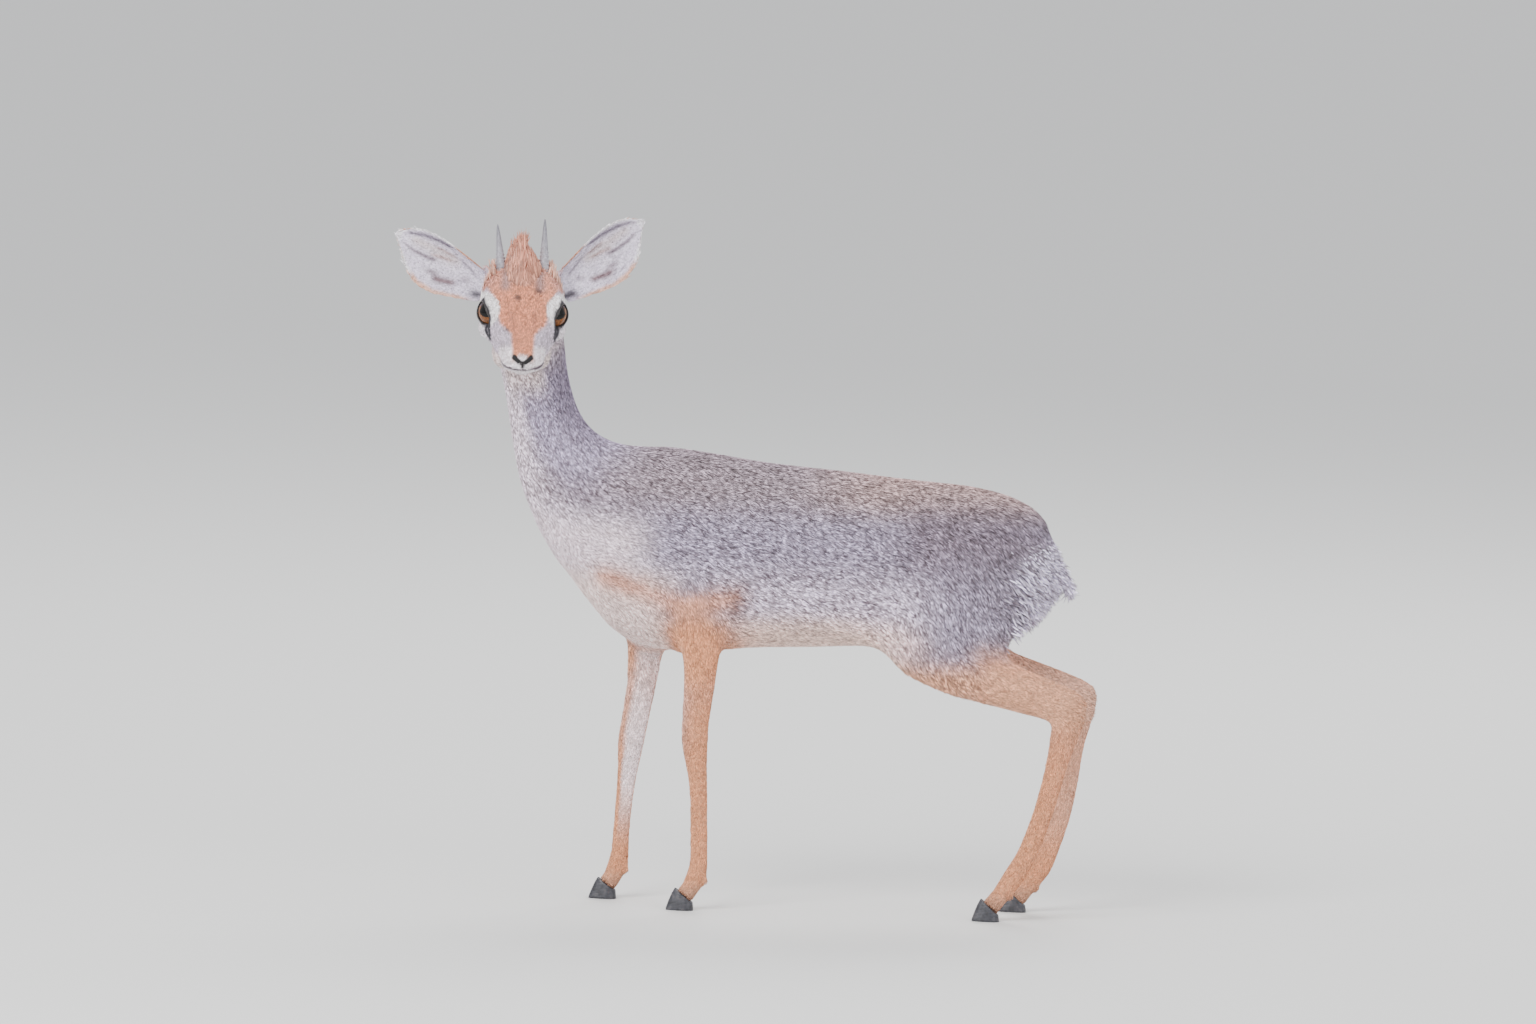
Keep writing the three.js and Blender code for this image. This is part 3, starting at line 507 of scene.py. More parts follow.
# Face: a rufous strip down to the nose, white about the eyes and lips, black tear pits and nostrils.
# The markings are paths and ovals on one side of the head, measured from its centre and from the eye.
eye_axis = eye_aim / np.linalg.norm(eye_aim)
eye_level = np.array([-eye_aim[1], eye_aim[0], 0.0])
eye_level /= np.linalg.norm(eye_level)
eye_high = np.array([0.0, 0.0, 1.0]) - eye_axis[2] * eye_axis
eye_high /= np.linalg.norm(eye_high)
from_eye = face - np.array(eye_spot)
across_lid = from_eye @ eye_level
up_lid = from_eye @ eye_high + 0.3 * across_lid
ring = np.hypot(across_lid / 10.6, up_lid / 8.4)
facing_out = smoothstep(from_eye @ eye_axis, -6, 0)
tear_pit = path_gap(face, [(27.8, 18, 4.6), (27.6, 24, -1.6), (26.8, 28.5, -7)])
tear_pit = np.minimum(tear_pit, path_gap(face, [(29.5, 14, -1), (29, 18, -6), (28, 24, -11)]))
front_pit = path_gap(face, [(26.6, 19, 0), (25.8, 25, -5), (25, 28, -9)])
nostril = path_gap(face, [(0.6, 75, -5.8), (2.8, 74.4, -4.6), (5.2, 73, -3), (7.2, 70.8, -1.6)])
nose_pad = path_gap(face, [(0, 75.5, -5.5), (0, 75, -9)])
lip_line = [(0, 74, -12.4), (5, 73.5, -12.8), (9, 72, -12.3)]
lip_line += [(13, 69, -11.5), (16, 65, -10.8), (18, 58, -11.4)]
mouth = path_gap(face, lip_line)
tint(on_face, 212, 198, 212)
tint(on_face * smoothstep(forward, -6, -18) * smoothstep(up, -16, 8), 214, 154, 132)
tint(on_face * smoothstep(up, -20, -27), 236, 218, 212)
chin = smoothstep(front_up, -26, -32) * smoothstep(forward, 30, 42) * smoothstep(aside, 20, 17)
tint(on_face * chin, 255, 246, 250)
blaze_stations = [-40, -24, -12, 0, 12, 25, 33, 40, 48, 66]
blaze_wide = np.interp(forward, blaze_stations, [40, 38, 33, 27, 21, 20, 18, 13.5, 9.5, 8.5])
strip = smoothstep(aside, blaze_wide + 1.8, blaze_wide - 1.8)
strip = strip * smoothstep(up, -9, -4) * smoothstep(forward, 74, 70)
tint(on_face * strip, 226, 147, 111)
# Painted shade: thin darker lines down both sides of the nose bridge, where its sides sink in.
tint(0.4 * on_face * near_to(face, [(9.5, 24, 13), (9, 34, 8.6), (9, 44, 4.8)], 1.8), 150, 96, 82)
tint(0.65 * on_face * near_to(face, [(13, -16, 28), (13.5, -7, 26), (14, 0, 23)], 4.4), 164, 146, 150)
raised = front_up + 2.0
inward = 33.0 - aside
band_lean = 0.14 * raised - 0.1 * inward
band = smoothstep(np.hypot(inward, raised), 16.4 + band_lean, 14.2 + band_lean)
tint(facing_out * band * smoothstep(raised + 0.5 * inward, -9, -3), 255, 250, 250)
tint(on_face * near_to(face, [(35, 2, -8), (33.5, 11, -9.5), (30, 18, -13)], 5.0), 255, 248, 252)
upper_inner = smoothstep(up_lid + 0.6 * across_lid, 0, 9)
tint(facing_out * smoothstep(ring, 1.18 + 0.2 * upper_inner, 1.07 + 0.16 * upper_inner), 26, 20, 24)
tint(on_face * smoothstep(np.minimum(tear_pit, front_pit), 3.4, 2.4), 24, 22, 32)
tint(on_face * smoothstep(nostril, 2.9, 1.9), 16, 13, 16)
tint(on_face * smoothstep(nose_pad, 2.6, 1.6), 30, 25, 28)
tint(on_face * smoothstep(mouth, 2.0, 1.0), 92, 78, 88)
for spot, spot_wide in (((-4, 11, 18), 3.0), ((12.5, 4, 22), 2.6), ((-12.5, 41, 4), 2.4)):
    gap = np.linalg.norm(np.column_stack([out, forward, up]) - spot, axis=1)
    tint(0.8 * on_face * smoothstep(gap, spot_wide + 1.2, spot_wide - 0.8), 84, 60, 58)

# Ears: rufous outside, pale lilac within under dark and tawny streaks, one of them painted shade near the
# root, with a white rim.
# A streak is given by where along the ear it starts and ends, its height there as a part of the half width,
# how wide and strong it is, and its colour.
ear_tips = {"ear_right": np.array([-306.0, 12.0, 544.0]), "ear_left": np.array([-105.0, 12.0, 561.0])}
ear_stations = [0.0, 0.12, 0.28, 0.45, 0.62, 0.78, 0.91, 1.0]
ear_high = [9.0, 9.5, 12.0, 14.5, 16.0, 15.0, 10.0, 1.5]
ear_low = [17.0, 21.5, 26.0, 31.0, 30.0, 22.0, 9.5, 1.5]
ear_streaks_and_shade = [
    (0.35, 0.85, 0.1, 0.14, 0.24, 0.5, (214, 194, 182)),
    (0.46, 0.92, 0.76, 0.56, 0.12, 0.9, (106, 92, 112)),
    # Painted shade: a dark streak in the upper half of the cup near the root.
    (0.16, 0.36, 0.0, 0.36, 0.1, 0.75, (104, 88, 104)),
    (0.4, 0.6, 0.28, 0.3, 0.07, 0.8, (158, 126, 118)),
    (0.56, 0.9, -0.2, -0.36, 0.06, 0.85, (112, 92, 104)),
    (0.42, 0.62, 0.0, -0.1, 0.05, 0.7, (176, 136, 122)),
    (0.5, 0.6, -0.5, -0.56, 0.06, 0.75, (120, 98, 106)),
    (0.3, 0.52, -0.58, -0.64, 0.1, 0.95, (112, 78, 82)),
    (0.18, 0.28, -0.3, -0.4, 0.1, 0.6, (122, 104, 116)),
    (-0.02, 0.12, -0.66, -0.72, 0.16, 0.95, (36, 30, 38)),
]
cup_inside = smoothstep(-normals[:, 1], 0.05, 0.45)
for ear, tip in ear_tips.items():
    hand = -1 if ear == "ear_right" else 1
    ear_root = on_head(hand * 28, -35, 5.5)
    ear_length = np.linalg.norm(tip - ear_root)
    run = (tip - ear_root) / ear_length
    ear_facing = np.array([0.16 * hand, -0.97, -0.16])
    ear_facing -= run * (ear_facing @ run)
    upward = np.cross(ear_facing / np.linalg.norm(ear_facing), run) * hand
    along_ear = (points - ear_root) @ run / ear_length
    up_ear = (points - ear_root) @ upward
    wide_up = np.interp(along_ear, ear_stations, ear_high)
    wide_down = np.interp(along_ear, ear_stations, ear_low)
    edge = up_ear / np.where(up_ear > 0, wide_up, wide_down)
    this_ear = share(weights, ear)
    here = this_ear * smoothstep(along_ear, 0.05, 0.2)
    tint(here * (1.0 - cup_inside), 214, 154, 124)
    tint(this_ear * cup_inside, 236, 226, 244)
    for start, end, first_edge, last_edge, streak_wide, strength, colour in ear_streaks_and_shade:
        place = np.interp(along_ear, (start, end), (first_edge, last_edge))
        ends = smoothstep(along_ear, start - 0.04, start + 0.04)
        ends = ends * smoothstep(along_ear, end + 0.04, end - 0.04)
        streak = np.exp(-(((edge - place) / streak_wide) ** 2)) * ends
        tint(this_ear * cup_inside * strength * streak, *colour)
    tint(here * smoothstep(edge, -0.84, -0.94) * smoothstep(along_ear, 0.76, 0.66), 232, 178, 148)
    tint(here * smoothstep(edge, 0.8, 0.92) * smoothstep(along_ear, 0.44, 0.34), 216, 154, 124)
    tint(here * smoothstep(edge, 0.84, 0.92) * smoothstep(along_ear, 0.36, 0.46), 255, 252, 255)
    tint(here * smoothstep(edge, -0.84, -0.92) * smoothstep(along_ear, 0.68, 0.78), 255, 252, 255)
    tint(here * smoothstep(along_ear, 0.93, 0.97), 250, 246, 252)

# How each hair lies, and how long, wide and close it grows.
lie = weights @ np.array([bone.lie for bone in bones])
length = weights @ np.array([bone.length for bone in bones])
width = weights @ np.array([bone.width for bone in bones])
closeness = 0.74 * on_body + 0.95 * on_neck + 1.5 * on_face + 0.76 * on_leg + 0.75 * on_ear + 1.2 * on_tail
tick = 0.95 * on_body + 0.8 * on_neck + 0.4 * on_face + 0.2 * on_leg + 0.25 * on_ear
tick *= 1.0 - 0.6 * smoothstep(normals[:, 2], -0.35, -0.85)
tick *= 1.0 - 0.75 * smoothstep(x, -64, -112) * smoothstep(z, 346, 306) * smoothstep(z, 200, 240)
around = smoothstep(ring, 2.6, 1.5) * facing_out * on_face
length = length * (1.0 - 0.45 * around)
outward = from_eye - (from_eye @ eye_axis)[:, None] * eye_axis
outward /= np.linalg.norm(outward, axis=1)[:, None] + 1e-6
sideways = (np.sign(out) * outward[:, 0])[:, None] * head_out
away = sideways + outward[:, 1:2] * head_muzzle + outward[:, 2:3] * head_crown
lie = lie + 1.2 * around[:, None] * away
bare = facing_out * smoothstep(ring, 1.34, 1.16)
bare_lines = [(tear_pit, 2.2, 3.2), (front_pit, 2.2, 3.2)]
bare_lines += [(nostril, 2.1, 3.2), (nose_pad, 2.0, 3.2), (mouth, 0.8, 1.6)]
for line, least, most in bare_lines:
    bare = np.maximum(bare, on_face * smoothstep(line, most, least))
inside_ear = on_ear * cup_inside
closeness = closeness * (1.0 - bare) * (1.0 - 0.72 * inside_ear)
width = width * (1.0 - 0.45 * inside_ear)


def keep_on_hide(name, kind, values):
    field = {"FLOAT": "value", "FLOAT_VECTOR": "vector", "FLOAT_COLOR": "color"}[kind]
    skin_mesh.attributes.new(name, kind, "POINT").data.foreach_set(field, as_floats(values))


keep_on_hide("coat_colour", "FLOAT_COLOR", np.column_stack([coat, np.ones(len(coat))]))
keep_on_hide("lie", "FLOAT_VECTOR", lie)
keep_on_hide("hair_length", "FLOAT", length * 0.001)
keep_on_hide("hair_width", "FLOAT", width)
keep_on_hide("closeness", "FLOAT", closeness * 1e6)
keep_on_hide("tick", "FLOAT", tick)

# The hide's own finish: the coat's colour with the dark and pale flecks of the fur over it, and a fine
# roughness of roots. It shows only between the tufts, and bare on nose, lips, lids and tear pits.


def painted(name, roughness=0.5):
    paint = bpy.data.materials.new(name)
    paint.use_nodes = True
    paint.node_tree.nodes["Principled BSDF"].inputs["Roughness"].default_value = roughness
    return paint


def added(tree, kind, settings=None, inputs=None):
    node = tree.nodes.new(kind)
    for setting, value in (settings or {}).items():
        setattr(node, setting, value)
    for socket, value in (inputs or {}).items():
        if isinstance(value, bpy.types.NodeSocket):
            tree.links.new(value, node.inputs[socket])
        else:
            node.inputs[socket].default_value = value
    return node


def product(tree, *colours):
    made = colours[0]
    for colour in colours[1:]:
        by_both = {"data_type": "RGBA", "blend_type": "MULTIPLY"}
        made = added(tree, "ShaderNodeMix", by_both, {0: 1.0, 6: made, 7: colour}).outputs[2]
    return made


def ramp(tree, value, stops):
    made = added(tree, "ShaderNodeValToRGB", None, {"Fac": value})
    elements = made.color_ramp.elements
    while len(elements) < len(stops):
        elements.new(0.5)
    for element, (place, level) in zip(elements, stops):
        element.position = place
        element.color = (*level, 1.0) if isinstance(level, tuple) else (level, level, level, 1.0)
    return made.outputs["Color"]


def noise(tree, place, scale, detail):
    sizes = {"Vector": place, "Scale": scale, "Detail": detail}
    return added(tree, "ShaderNodeTexNoise", None, sizes).outputs


def roughen(tree, height, strength, distance):
    bump = added(tree, "ShaderNodeBump", None, {"Height": height, "Strength": strength, "Distance": distance})
    tree.links.new(bump.outputs["Normal"], tree.nodes["Principled BSDF"].inputs["Normal"])


hide_paint = painted("hide", 0.75)
tree = hide_paint.node_tree
shader = tree.nodes["Principled BSDF"]
place = added(tree, "ShaderNodeTexCoord").outputs["Object"]
colour = added(tree, "ShaderNodeAttribute", {"attribute_name": "coat_colour"}).outputs["Color"]
flecks = noise(tree, place, 620.0, 3.0)["Fac"]
blotches = noise(tree, place, 60.0, 4.0)["Fac"]
speckled = ramp(tree, flecks, ((0.3, 0.5), (0.5, 0.85), (0.7, 1.05)))
clouded = ramp(tree, blotches, ((0.3, 0.86), (0.7, 1.0)))
tree.links.new(product(tree, colour, speckled, clouded), shader.inputs["Base Color"])
roughen(tree, flecks, 0.5, 0.0006)
skin_mesh.materials.append(hide_paint)
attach(skin, "root")
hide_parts(*flesh_names)

# Coat: closed, flat, tapering tufts that bend back over the hide. Each tuft lies the way the hair lies
# there, and carries the colour of its root, dark at the base (partly the hair's own band, partly painted
# shade deep in the coat), pale in the middle and dark at the tip.
coat_paint = painted("coat", 0.62)
tree = coat_paint.node_tree
shader = tree.nodes["Principled BSDF"]
shader.inputs["Sheen Weight"].default_value = 0.12
shader.inputs["Sheen Roughness"].default_value = 0.5
shader.inputs["Specular IOR Level"].default_value = 0.3
colour = added(tree, "ShaderNodeAttribute", {"attribute_name": "coat_colour"}).outputs["Color"]
shade = added(tree, "ShaderNodeAttribute", {"attribute_name": "tuft_shade"}).outputs["Fac"]
along = added(tree, "ShaderNodeAttribute", {"attribute_name": "along"}).outputs["Fac"]
fleck = added(tree, "ShaderNodeAttribute", {"attribute_name": "tick"}).outputs["Fac"]
shift = added(tree, "ShaderNodeMath", {"operation": "MULTIPLY_ADD"}, {0: shade, 1: 0.3, 2: -0.15}).outputs[0]
banding = added(tree, "ShaderNodeMath", {"operation": "ADD"}, {0: along, 1: shift}).outputs[0]
# Hair ringed dark and pale along its length; the dark root is partly the hair's own band and partly painted
# shade deep in the coat.
root_shade_and_bands = ramp(tree, banding, ((0.0, 0.5), (0.3, 0.8), (0.55, 1.15), (0.8, 1.25), (1.0, 0.6)))
# Plain hair, darker towards its root: painted shade deep in the coat.
plain_with_root_shade = ramp(tree, banding, ((0.0, 0.72), (0.4, 1.0), (1.0, 1.06)))
banded_with_root_shade = added(tree, "ShaderNodeMix", {"data_type": "RGBA"}, {0: fleck, 6: plain_with_root_shade, 7: root_shade_and_bands})
dark_to_pale = (
    (0.18, (0.24, 0.2, 0.2)),
    (0.4, (0.76, 0.72, 0.72)),
    (0.6, (1.14, 1.14, 1.16)),
    (0.8, (1.9, 1.9, 1.96)),
)
grizzled = ramp(tree, shade, dark_to_pale)
even = ramp(tree, shade, ((0.1, (0.86, 0.82, 0.8)), (0.45, (1.02, 1.01, 1.01)), (0.9, (1.22, 1.22, 1.22))))
varied = added(tree, "ShaderNodeMix", {"data_type": "RGBA"}, {0: fleck, 6: even, 7: grizzled})
tree.links.new(product(tree, colour, banded_with_root_shade.outputs[2], varied.outputs[2]), shader.inputs["Base Color"])

tuft_width = 0.0007
tuft_patch = 0.0015
coat_tree = bpy.data.node_groups.new("coat", "GeometryNodeTree")
coat_sockets = coat_tree.interface
coat_sockets.new_socket("Geometry", in_out="INPUT", socket_type="NodeSocketGeometry")
coat_sockets.new_socket("Geometry", in_out="OUTPUT", socket_type="NodeSocketGeometry")
coat_inputs = {}
for label, kind, value in (
    ("Here", "NodeSocketString", ""),
    ("Width", "NodeSocketFloat", 1.0),
    ("Thickness", "NodeSocketFloat", 0.04),
    ("Lift", "NodeSocketFloat", 0.3),
    ("Bend", "NodeSocketFloat", 0.22),
    ("Raise", "NodeSocketFloat", 0.0),
    ("Stray", "NodeSocketFloat", 0.22),
    ("Segments", "NodeSocketInt", 2),
    ("Seed", "NodeSocketInt", 1),
    ("Finish", "NodeSocketMaterial", None),
):
    socket = coat_sockets.new_socket(label, in_out="INPUT", socket_type=kind)
    if value is not None:
        socket.default_value = value
    coat_inputs[label] = socket.identifier
given = added(coat_tree, "NodeGroupInput").outputs


def math_of(kind, first, second, third=None):
    sockets = {0: first, 1: second} if third is None else {0: first, 1: second, 2: third}
    return added(coat_tree, "ShaderNodeMath", {"operation": kind}, sockets).outputs[0]


def vector_of(kind, first, second):
    sockets = {0: first, "Scale" if kind == "SCALE" else 1: second}
    node = added(coat_tree, "ShaderNodeVectorMath", {"operation": kind}, sockets)
    return node.outputs["Value" if kind == "DOT_PRODUCT" else "Vector"]


def read(name, kind):
    node = added(coat_tree, "GeometryNodeInputNamedAttribute", {"data_type": kind}, {"Name": name})
    return node.outputs["Attribute"]


def stored(geometry, name, value, kind="FLOAT", domain="POINT"):
    settings = {"data_type": kind, "domain": domain}
    inputs = {"Geometry": geometry, "Name": name, "Value": value}
    return added(coat_tree, "GeometryNodeStoreNamedAttribute", settings, inputs).outputs["Geometry"]


density = math_of("MULTIPLY", read("closeness", "FLOAT"), read(given["Here"], "FLOAT"))
roots = added(
    coat_tree,
    "GeometryNodeDistributePointsOnFaces",
    {"distribute_method": "RANDOM"},
    {"Mesh": given["Geometry"], "Density": density, "Seed": given["Seed"]},
)
random_shade = added(coat_tree, "FunctionNodeRandomValue", {"data_type": "FLOAT"}, {"Seed": 3}).outputs[1]
where = added(coat_tree, "GeometryNodeInputPosition").outputs[0]
mottle = noise(coat_tree, where, 475.0, 1.0)["Fac"]
mottle_range = {"Value": mottle, "From Min": 0.3, "From Max": 0.7}
mottled = added(coat_tree, "ShaderNodeMapRange", None, mottle_range).outputs[0]
blend = added(coat_tree, "ShaderNodeMix", {"data_type": "FLOAT"}, {0: 0.66, 2: random_shade, 3: mottled})
rooted = stored(roots.outputs["Points"], "tuft_shade", blend.outputs[0])
rooted = stored(rooted, "root_place", read("OFBake", "FLOAT_VECTOR"), "FLOAT_VECTOR")
stray = added(coat_tree, "FunctionNodeRandomValue", {"data_type": "FLOAT_VECTOR"}, {"Seed": 5})
stray.inputs[0].default_value = (-1.0, -1.0, -1.0)
stray.inputs[1].default_value = (1.0, 1.0, 1.0)
normal = roots.outputs["Normal"]
waves = noise(coat_tree, where, 70.0, 2.0)["Color"]
drift = vector_of("SCALE", vector_of("SUBTRACT", waves, (0.5, 0.5, 0.5)), 1.2)
strayed = vector_of("ADD", vector_of("SCALE", stray.outputs[0], given["Stray"]), drift)
aim_way = vector_of("ADD", vector_of("NORMALIZE", read("lie", "FLOAT_VECTOR"), (0, 0, 0)), strayed)
pressed = math_of("SUBTRACT", 1.0, given["Raise"])
over = math_of("MULTIPLY", vector_of("DOT_PRODUCT", aim_way, normal), pressed)
flat_way = vector_of("SUBTRACT", aim_way, vector_of("SCALE", normal, over))
flat_way = vector_of("NORMALIZE", flat_way, (0, 0, 0))
turn = added(
    coat_tree,
    "FunctionNodeAxesToRotation",
    {"primary_axis": "Z", "secondary_axis": "Y"},
    {"Primary Axis": flat_way, "Secondary Axis": normal},
).outputs[0]
spindle = added(
    coat_tree, "GeometryNodeMeshUVSphere", None, {"Segments": 3, "Rings": given["Segments"], "Radius": 0.5}
).outputs["Mesh"]
split = added(coat_tree, "ShaderNodeSeparateXYZ", None, {0: where}).outputs
reached = math_of("ADD", split["Z"], 0.5)
fullness = math_of("MULTIPLY_ADD", reached, -1.2, 2.6)
bend = math_of("MULTIPLY", reached, given["Bend"])
arch = math_of("MULTIPLY", reached, math_of("SUBTRACT", given["Lift"], bend))
wide = math_of("MULTIPLY", math_of("MULTIPLY", split["X"], fullness), given["Width"])
thick = math_of("MULTIPLY", math_of("MULTIPLY", split["Y"], fullness), given["Thickness"])
arched = math_of("ADD", thick, arch)
shaped = added(coat_tree, "ShaderNodeCombineXYZ", None, {"X": wide, "Y": arched, "Z": reached}).outputs[0]
shaped_tuft = stored(stored(spindle, "along", reached), "across", split["X"])
moved = {"Geometry": shaped_tuft, "Position": shaped}
shaped_tuft = added(coat_tree, "GeometryNodeSetPosition", None, moved).outputs[0]
uneven = added(coat_tree, "FunctionNodeRandomValue", {"data_type": "FLOAT"}, {"Seed": 9})
uneven.inputs[2].default_value = 0.72
uneven.inputs[3].default_value = 1.25
reach = math_of("MULTIPLY", read("hair_length", "FLOAT"), uneven.outputs[1])
wide = math_of("MULTIPLY", read("hair_width", "FLOAT"), tuft_width)
size = added(coat_tree, "ShaderNodeCombineXYZ", None, {"X": wide, "Y": reach, "Z": reach}).outputs[0]
planted = {"Points": rooted, "Instance": shaped_tuft, "Rotation": turn, "Scale": size}
tufts = added(coat_tree, "GeometryNodeInstanceOnPoints", None, planted).outputs[0]
whole = added(coat_tree, "GeometryNodeRealizeInstances", None, {"Geometry": tufts}).outputs[0]
on_tuft = {"X": read("across", "FLOAT"), "Y": read("along", "FLOAT")}
patch = added(coat_tree, "ShaderNodeCombineXYZ", None, on_tuft).outputs[0]
patch = vector_of("ADD", vector_of("SCALE", patch, tuft_patch), read("root_place", "FLOAT_VECTOR"))
whole = stored(whole, "OFBake", patch, "FLOAT2", "CORNER")
whole = added(coat_tree, "GeometryNodeSetShadeSmooth", None, {"Geometry": whole}).outputs[0]
dyed = {"Geometry": whole, "Material": given["Finish"]}
whole = added(coat_tree, "GeometryNodeSetMaterial", None, dyed).outputs[0]
added(coat_tree, "NodeGroupOutput", None, {"Geometry": whole})


def keep_value(mesh, label, values):
    mesh.attributes.new(label, "FLOAT", "POINT").data.foreach_set("value", as_floats(values))


def grow_coat(name, slot, here, base=skin_mesh, **settings):
    grown = new_object(name, base.copy())
    keep_value(grown.data, "here", here)
    modifier = grown.modifiers.new("coat", "NODES")
    modifier.node_group = coat_tree
    values = {"Here": "here", "Finish": coat_paint, "Seed": sum(map(ord, name)), **settings}
    for label, value in values.items():
        modifier[coat_inputs[label]] = value
    made = evaluated_mesh(grown)
    grown.modifiers.remove(modifier)
    ground = grown.data
    grown.data = made
    bpy.data.meshes.remove(ground)
    made.name = name
    for unused in ("lie", "hair_length", "hair_width", "closeness", "here", "root_place", "across"):
        if unused in made.attributes:
            made.attributes.remove(made.attributes[unused])
    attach(grown, "root")


# Body coat: short grizzled hair that lies back and down over breast, flanks, back and rump, ringed dark and
# pale on the back and plain beneath. It is grown in strips from the breast to the rump.
head_here = on_face > 0.5
neck_here = on_neck > 0.5
ear_here = on_ear > 0.5
leg_here = on_leg > 0.5
tail_here = on_tail > 0.5
trunk_here = ~(head_here | neck_here | ear_here | leg_here | tail_here)
strip_ends = [-400, -104, -60, -16, 28, 72, 112, 150, 186, 400]
for start, end in zip(strip_ends[:-1], strip_ends[1:]):
    strip = (x >= start) & (x < end) & trunk_here
    grow_coat(f"coat_body_{start + 400}", "body_fur", strip, Thickness=0.03)

# Neck coat: the same grizzled hair, shorter, running down the neck to the breast and withers.
# It is grown in a front and a back half, and is paler at the throat.
neck_middle = -4
grow_coat("coat_neck_front", "neck_fur", neck_here & (y < neck_middle), Thickness=0.035)
grow_coat("coat_neck_back", "neck_fur", neck_here & (y >= neck_middle), Thickness=0.035)

# Face coat: very short close hair that runs back from the nose, with the crown's fuller hair behind it.
# It parts around the eyes and leaves nose, lips, lids and tear pits bare.
crown_start = -6
on_front = head_here & (forward >= crown_start)
grow_coat("coat_face", "face_fur", on_front, Thickness=0.07, Lift=0.22, Bend=0.16)
grow_coat("coat_crown", "face_fur", head_here & (forward < crown_start), Thickness=0.07)

# Ear coat: fine short hair over thin gristle, lying from the ear's root to its tip on both faces.
# It is sparse and narrow inside the cup.
grow_coat("coat_ears", "ear_fur", ear_here, Thickness=0.05, Lift=0.16, Bend=0.12)

# Leg coat: short sleek tawny hair that lies straight down the slender legs to the hooves.
# The fore pair and the hind pair are grown apart, parted at the middle of the belly.
sleek = {"Thickness": 0.05, "Lift": 0.12, "Bend": 0.1}
belly_middle = 60
grow_coat("coat_forelegs", "leg_fur", leg_here & (x < belly_middle), **sleek)
grow_coat("coat_hindlegs", "leg_fur", leg_here & (x >= belly_middle), **sleek)

# Tail: a short dock under longer pale hair, which hangs down and stands a little off it.
# Its tufts have more lengths than the body's, so that they bend smoothly.
grow_coat("coat_tail", "body_fur", tail_here, Thickness=0.02, Segments=4, Lift=0.5, Bend=0.4)

# Raised hair: the crest is a full cone of long rufous hair between the horns, short tufts stand on the
# temples beside it, and long pale bristles stand off the rump and break its outline.
# Each is grown on a copy of the hide that holds its own way, length and tone of hair.
bristle = {"Thickness": 0.025, "Segments": 4, "Raise": 1.0, "Stray": 0.1}


def raised_hair(name, slot, here, way, hair_length, close, fleck, tones, **settings):
    ground = skin_mesh.copy()
    count = len(points)
    fields = (
        ("lie", "vector", way),
        ("hair_length", "value", np.broadcast_to(0.001 * hair_length, count)),
        ("hair_width", "value", np.ones(count)),
        ("closeness", "value", np.full(count, close * 1e6)),
        ("tick", "value", np.full(count, fleck)),
        ("coat_colour", "color", np.column_stack([tones, np.ones(count)])),
    )
    for label, field, values in fields:
        ground.attributes[label].data.foreach_set(field, as_floats(values))
    grow_coat(name, slot, here, ground, **{**bristle, **settings})
    bpy.data.meshes.remove(ground)


def one_tone(*colour):
    return np.tile(linear(*colour), (len(points), 1))


crest_middle = -23.0
crest_half_wide = 15.5
crest_half_long = 24.0
from_middle = forward - crest_middle
crest_long = np.where(from_middle > 0.0, from_middle, 1.4 * from_middle) / crest_half_long
crest_round = np.hypot(out / crest_half_wide, crest_long)
crest_back = 0.42 + 0.03 * np.maximum(0.0, from_middle)
crest_way = head_crown - (0.1 + 0.02 * out)[:, None] * head_out - crest_back[:, None] * head_muzzle
crest_length = 7.0 + 19.0 * (1.0 - np.clip(crest_round, 0.0, 1.0)) ** 0.7
crest_here = (crest_round < 1.0) & (up > 14.0) & head_here
crest_tone = one_tone(204, 143, 120)
raised_hair("crest", "face_fur", crest_here, crest_way, crest_length, 2.2, 0.45, crest_tone, Lift=0.05)
temple_here = smoothstep(aside, 20, 24) * smoothstep(forward, -12, -20) * smoothstep(up, 6, 12) * head_here
temple_way = head_crown + np.sign(out)[:, None] * 0.3 * head_out - 0.5 * head_muzzle
temple_tone = one_tone(220, 172, 150)
raised_hair("temple_tufts", "face_fur", temple_here, temple_way, 6.5, 0.8, 0.3, temple_tone, Lift=0.05)
rump_here = smoothstep(normals[:, 0], -0.2, 0.5) * smoothstep(x, 198, 242) * smoothstep(z, 206, 262)
rump_here = rump_here * smoothstep(z, 318, 290) * (trunk_here | tail_here)
rump_way = np.array([0.7, 0.0, -0.6]) + 0.2 * normals
rump_length = 5.0 + 5.0 * smoothstep(z, 308, 276)
rump_tone = one_tone(216, 208, 228)
loose = {"Segments": 3, "Stray": 0.3, "Lift": 0.1, "Bend": 0.25}
raised_hair("coat_rump", "body_fur", rump_here, rump_way, rump_length, 0.6, 1.0, rump_tone, **loose)

# Eyes: large wet globes set in the sides of the skull, amber round a level pupil inside a dark rim, and
# darkened above by a painted shadow of the upper lid, so that the amber shows below.
# Tight black lids of bare skin close on them in a rim.
eye_paint = painted("eye", 0.05)
tree = eye_paint.node_tree
shader = tree.nodes["Principled BSDF"]
shader.inputs["Coat Weight"].default_value = 0.15
shader.inputs["Coat Roughness"].default_value = 0.02
shader.inputs["Specular IOR Level"].default_value = 0.2
across_eye = added(tree, "ShaderNodeAttribute", {"attribute_name": "across_eye"}).outputs["Fac"]
up_eye = added(tree, "ShaderNodeAttribute", {"attribute_name": "up_eye"}).outputs["Fac"]


def eye_math(kind, first, second, third=0.0):
    return added(tree, "ShaderNodeMath", {"operation": kind}, {0: first, 1: second, 2: third}).outputs[0]


def oval(half_long, half_high):
    long_part = eye_math("POWER", eye_math("ABSOLUTE", eye_math("DIVIDE", across_eye, half_long), 0.0), 2.4)
    high_part = eye_math("POWER", eye_math("ABSOLUTE", eye_math("DIVIDE", up_eye, half_high), 0.0), 2.4)
    return eye_math("ADD", long_part, high_part)


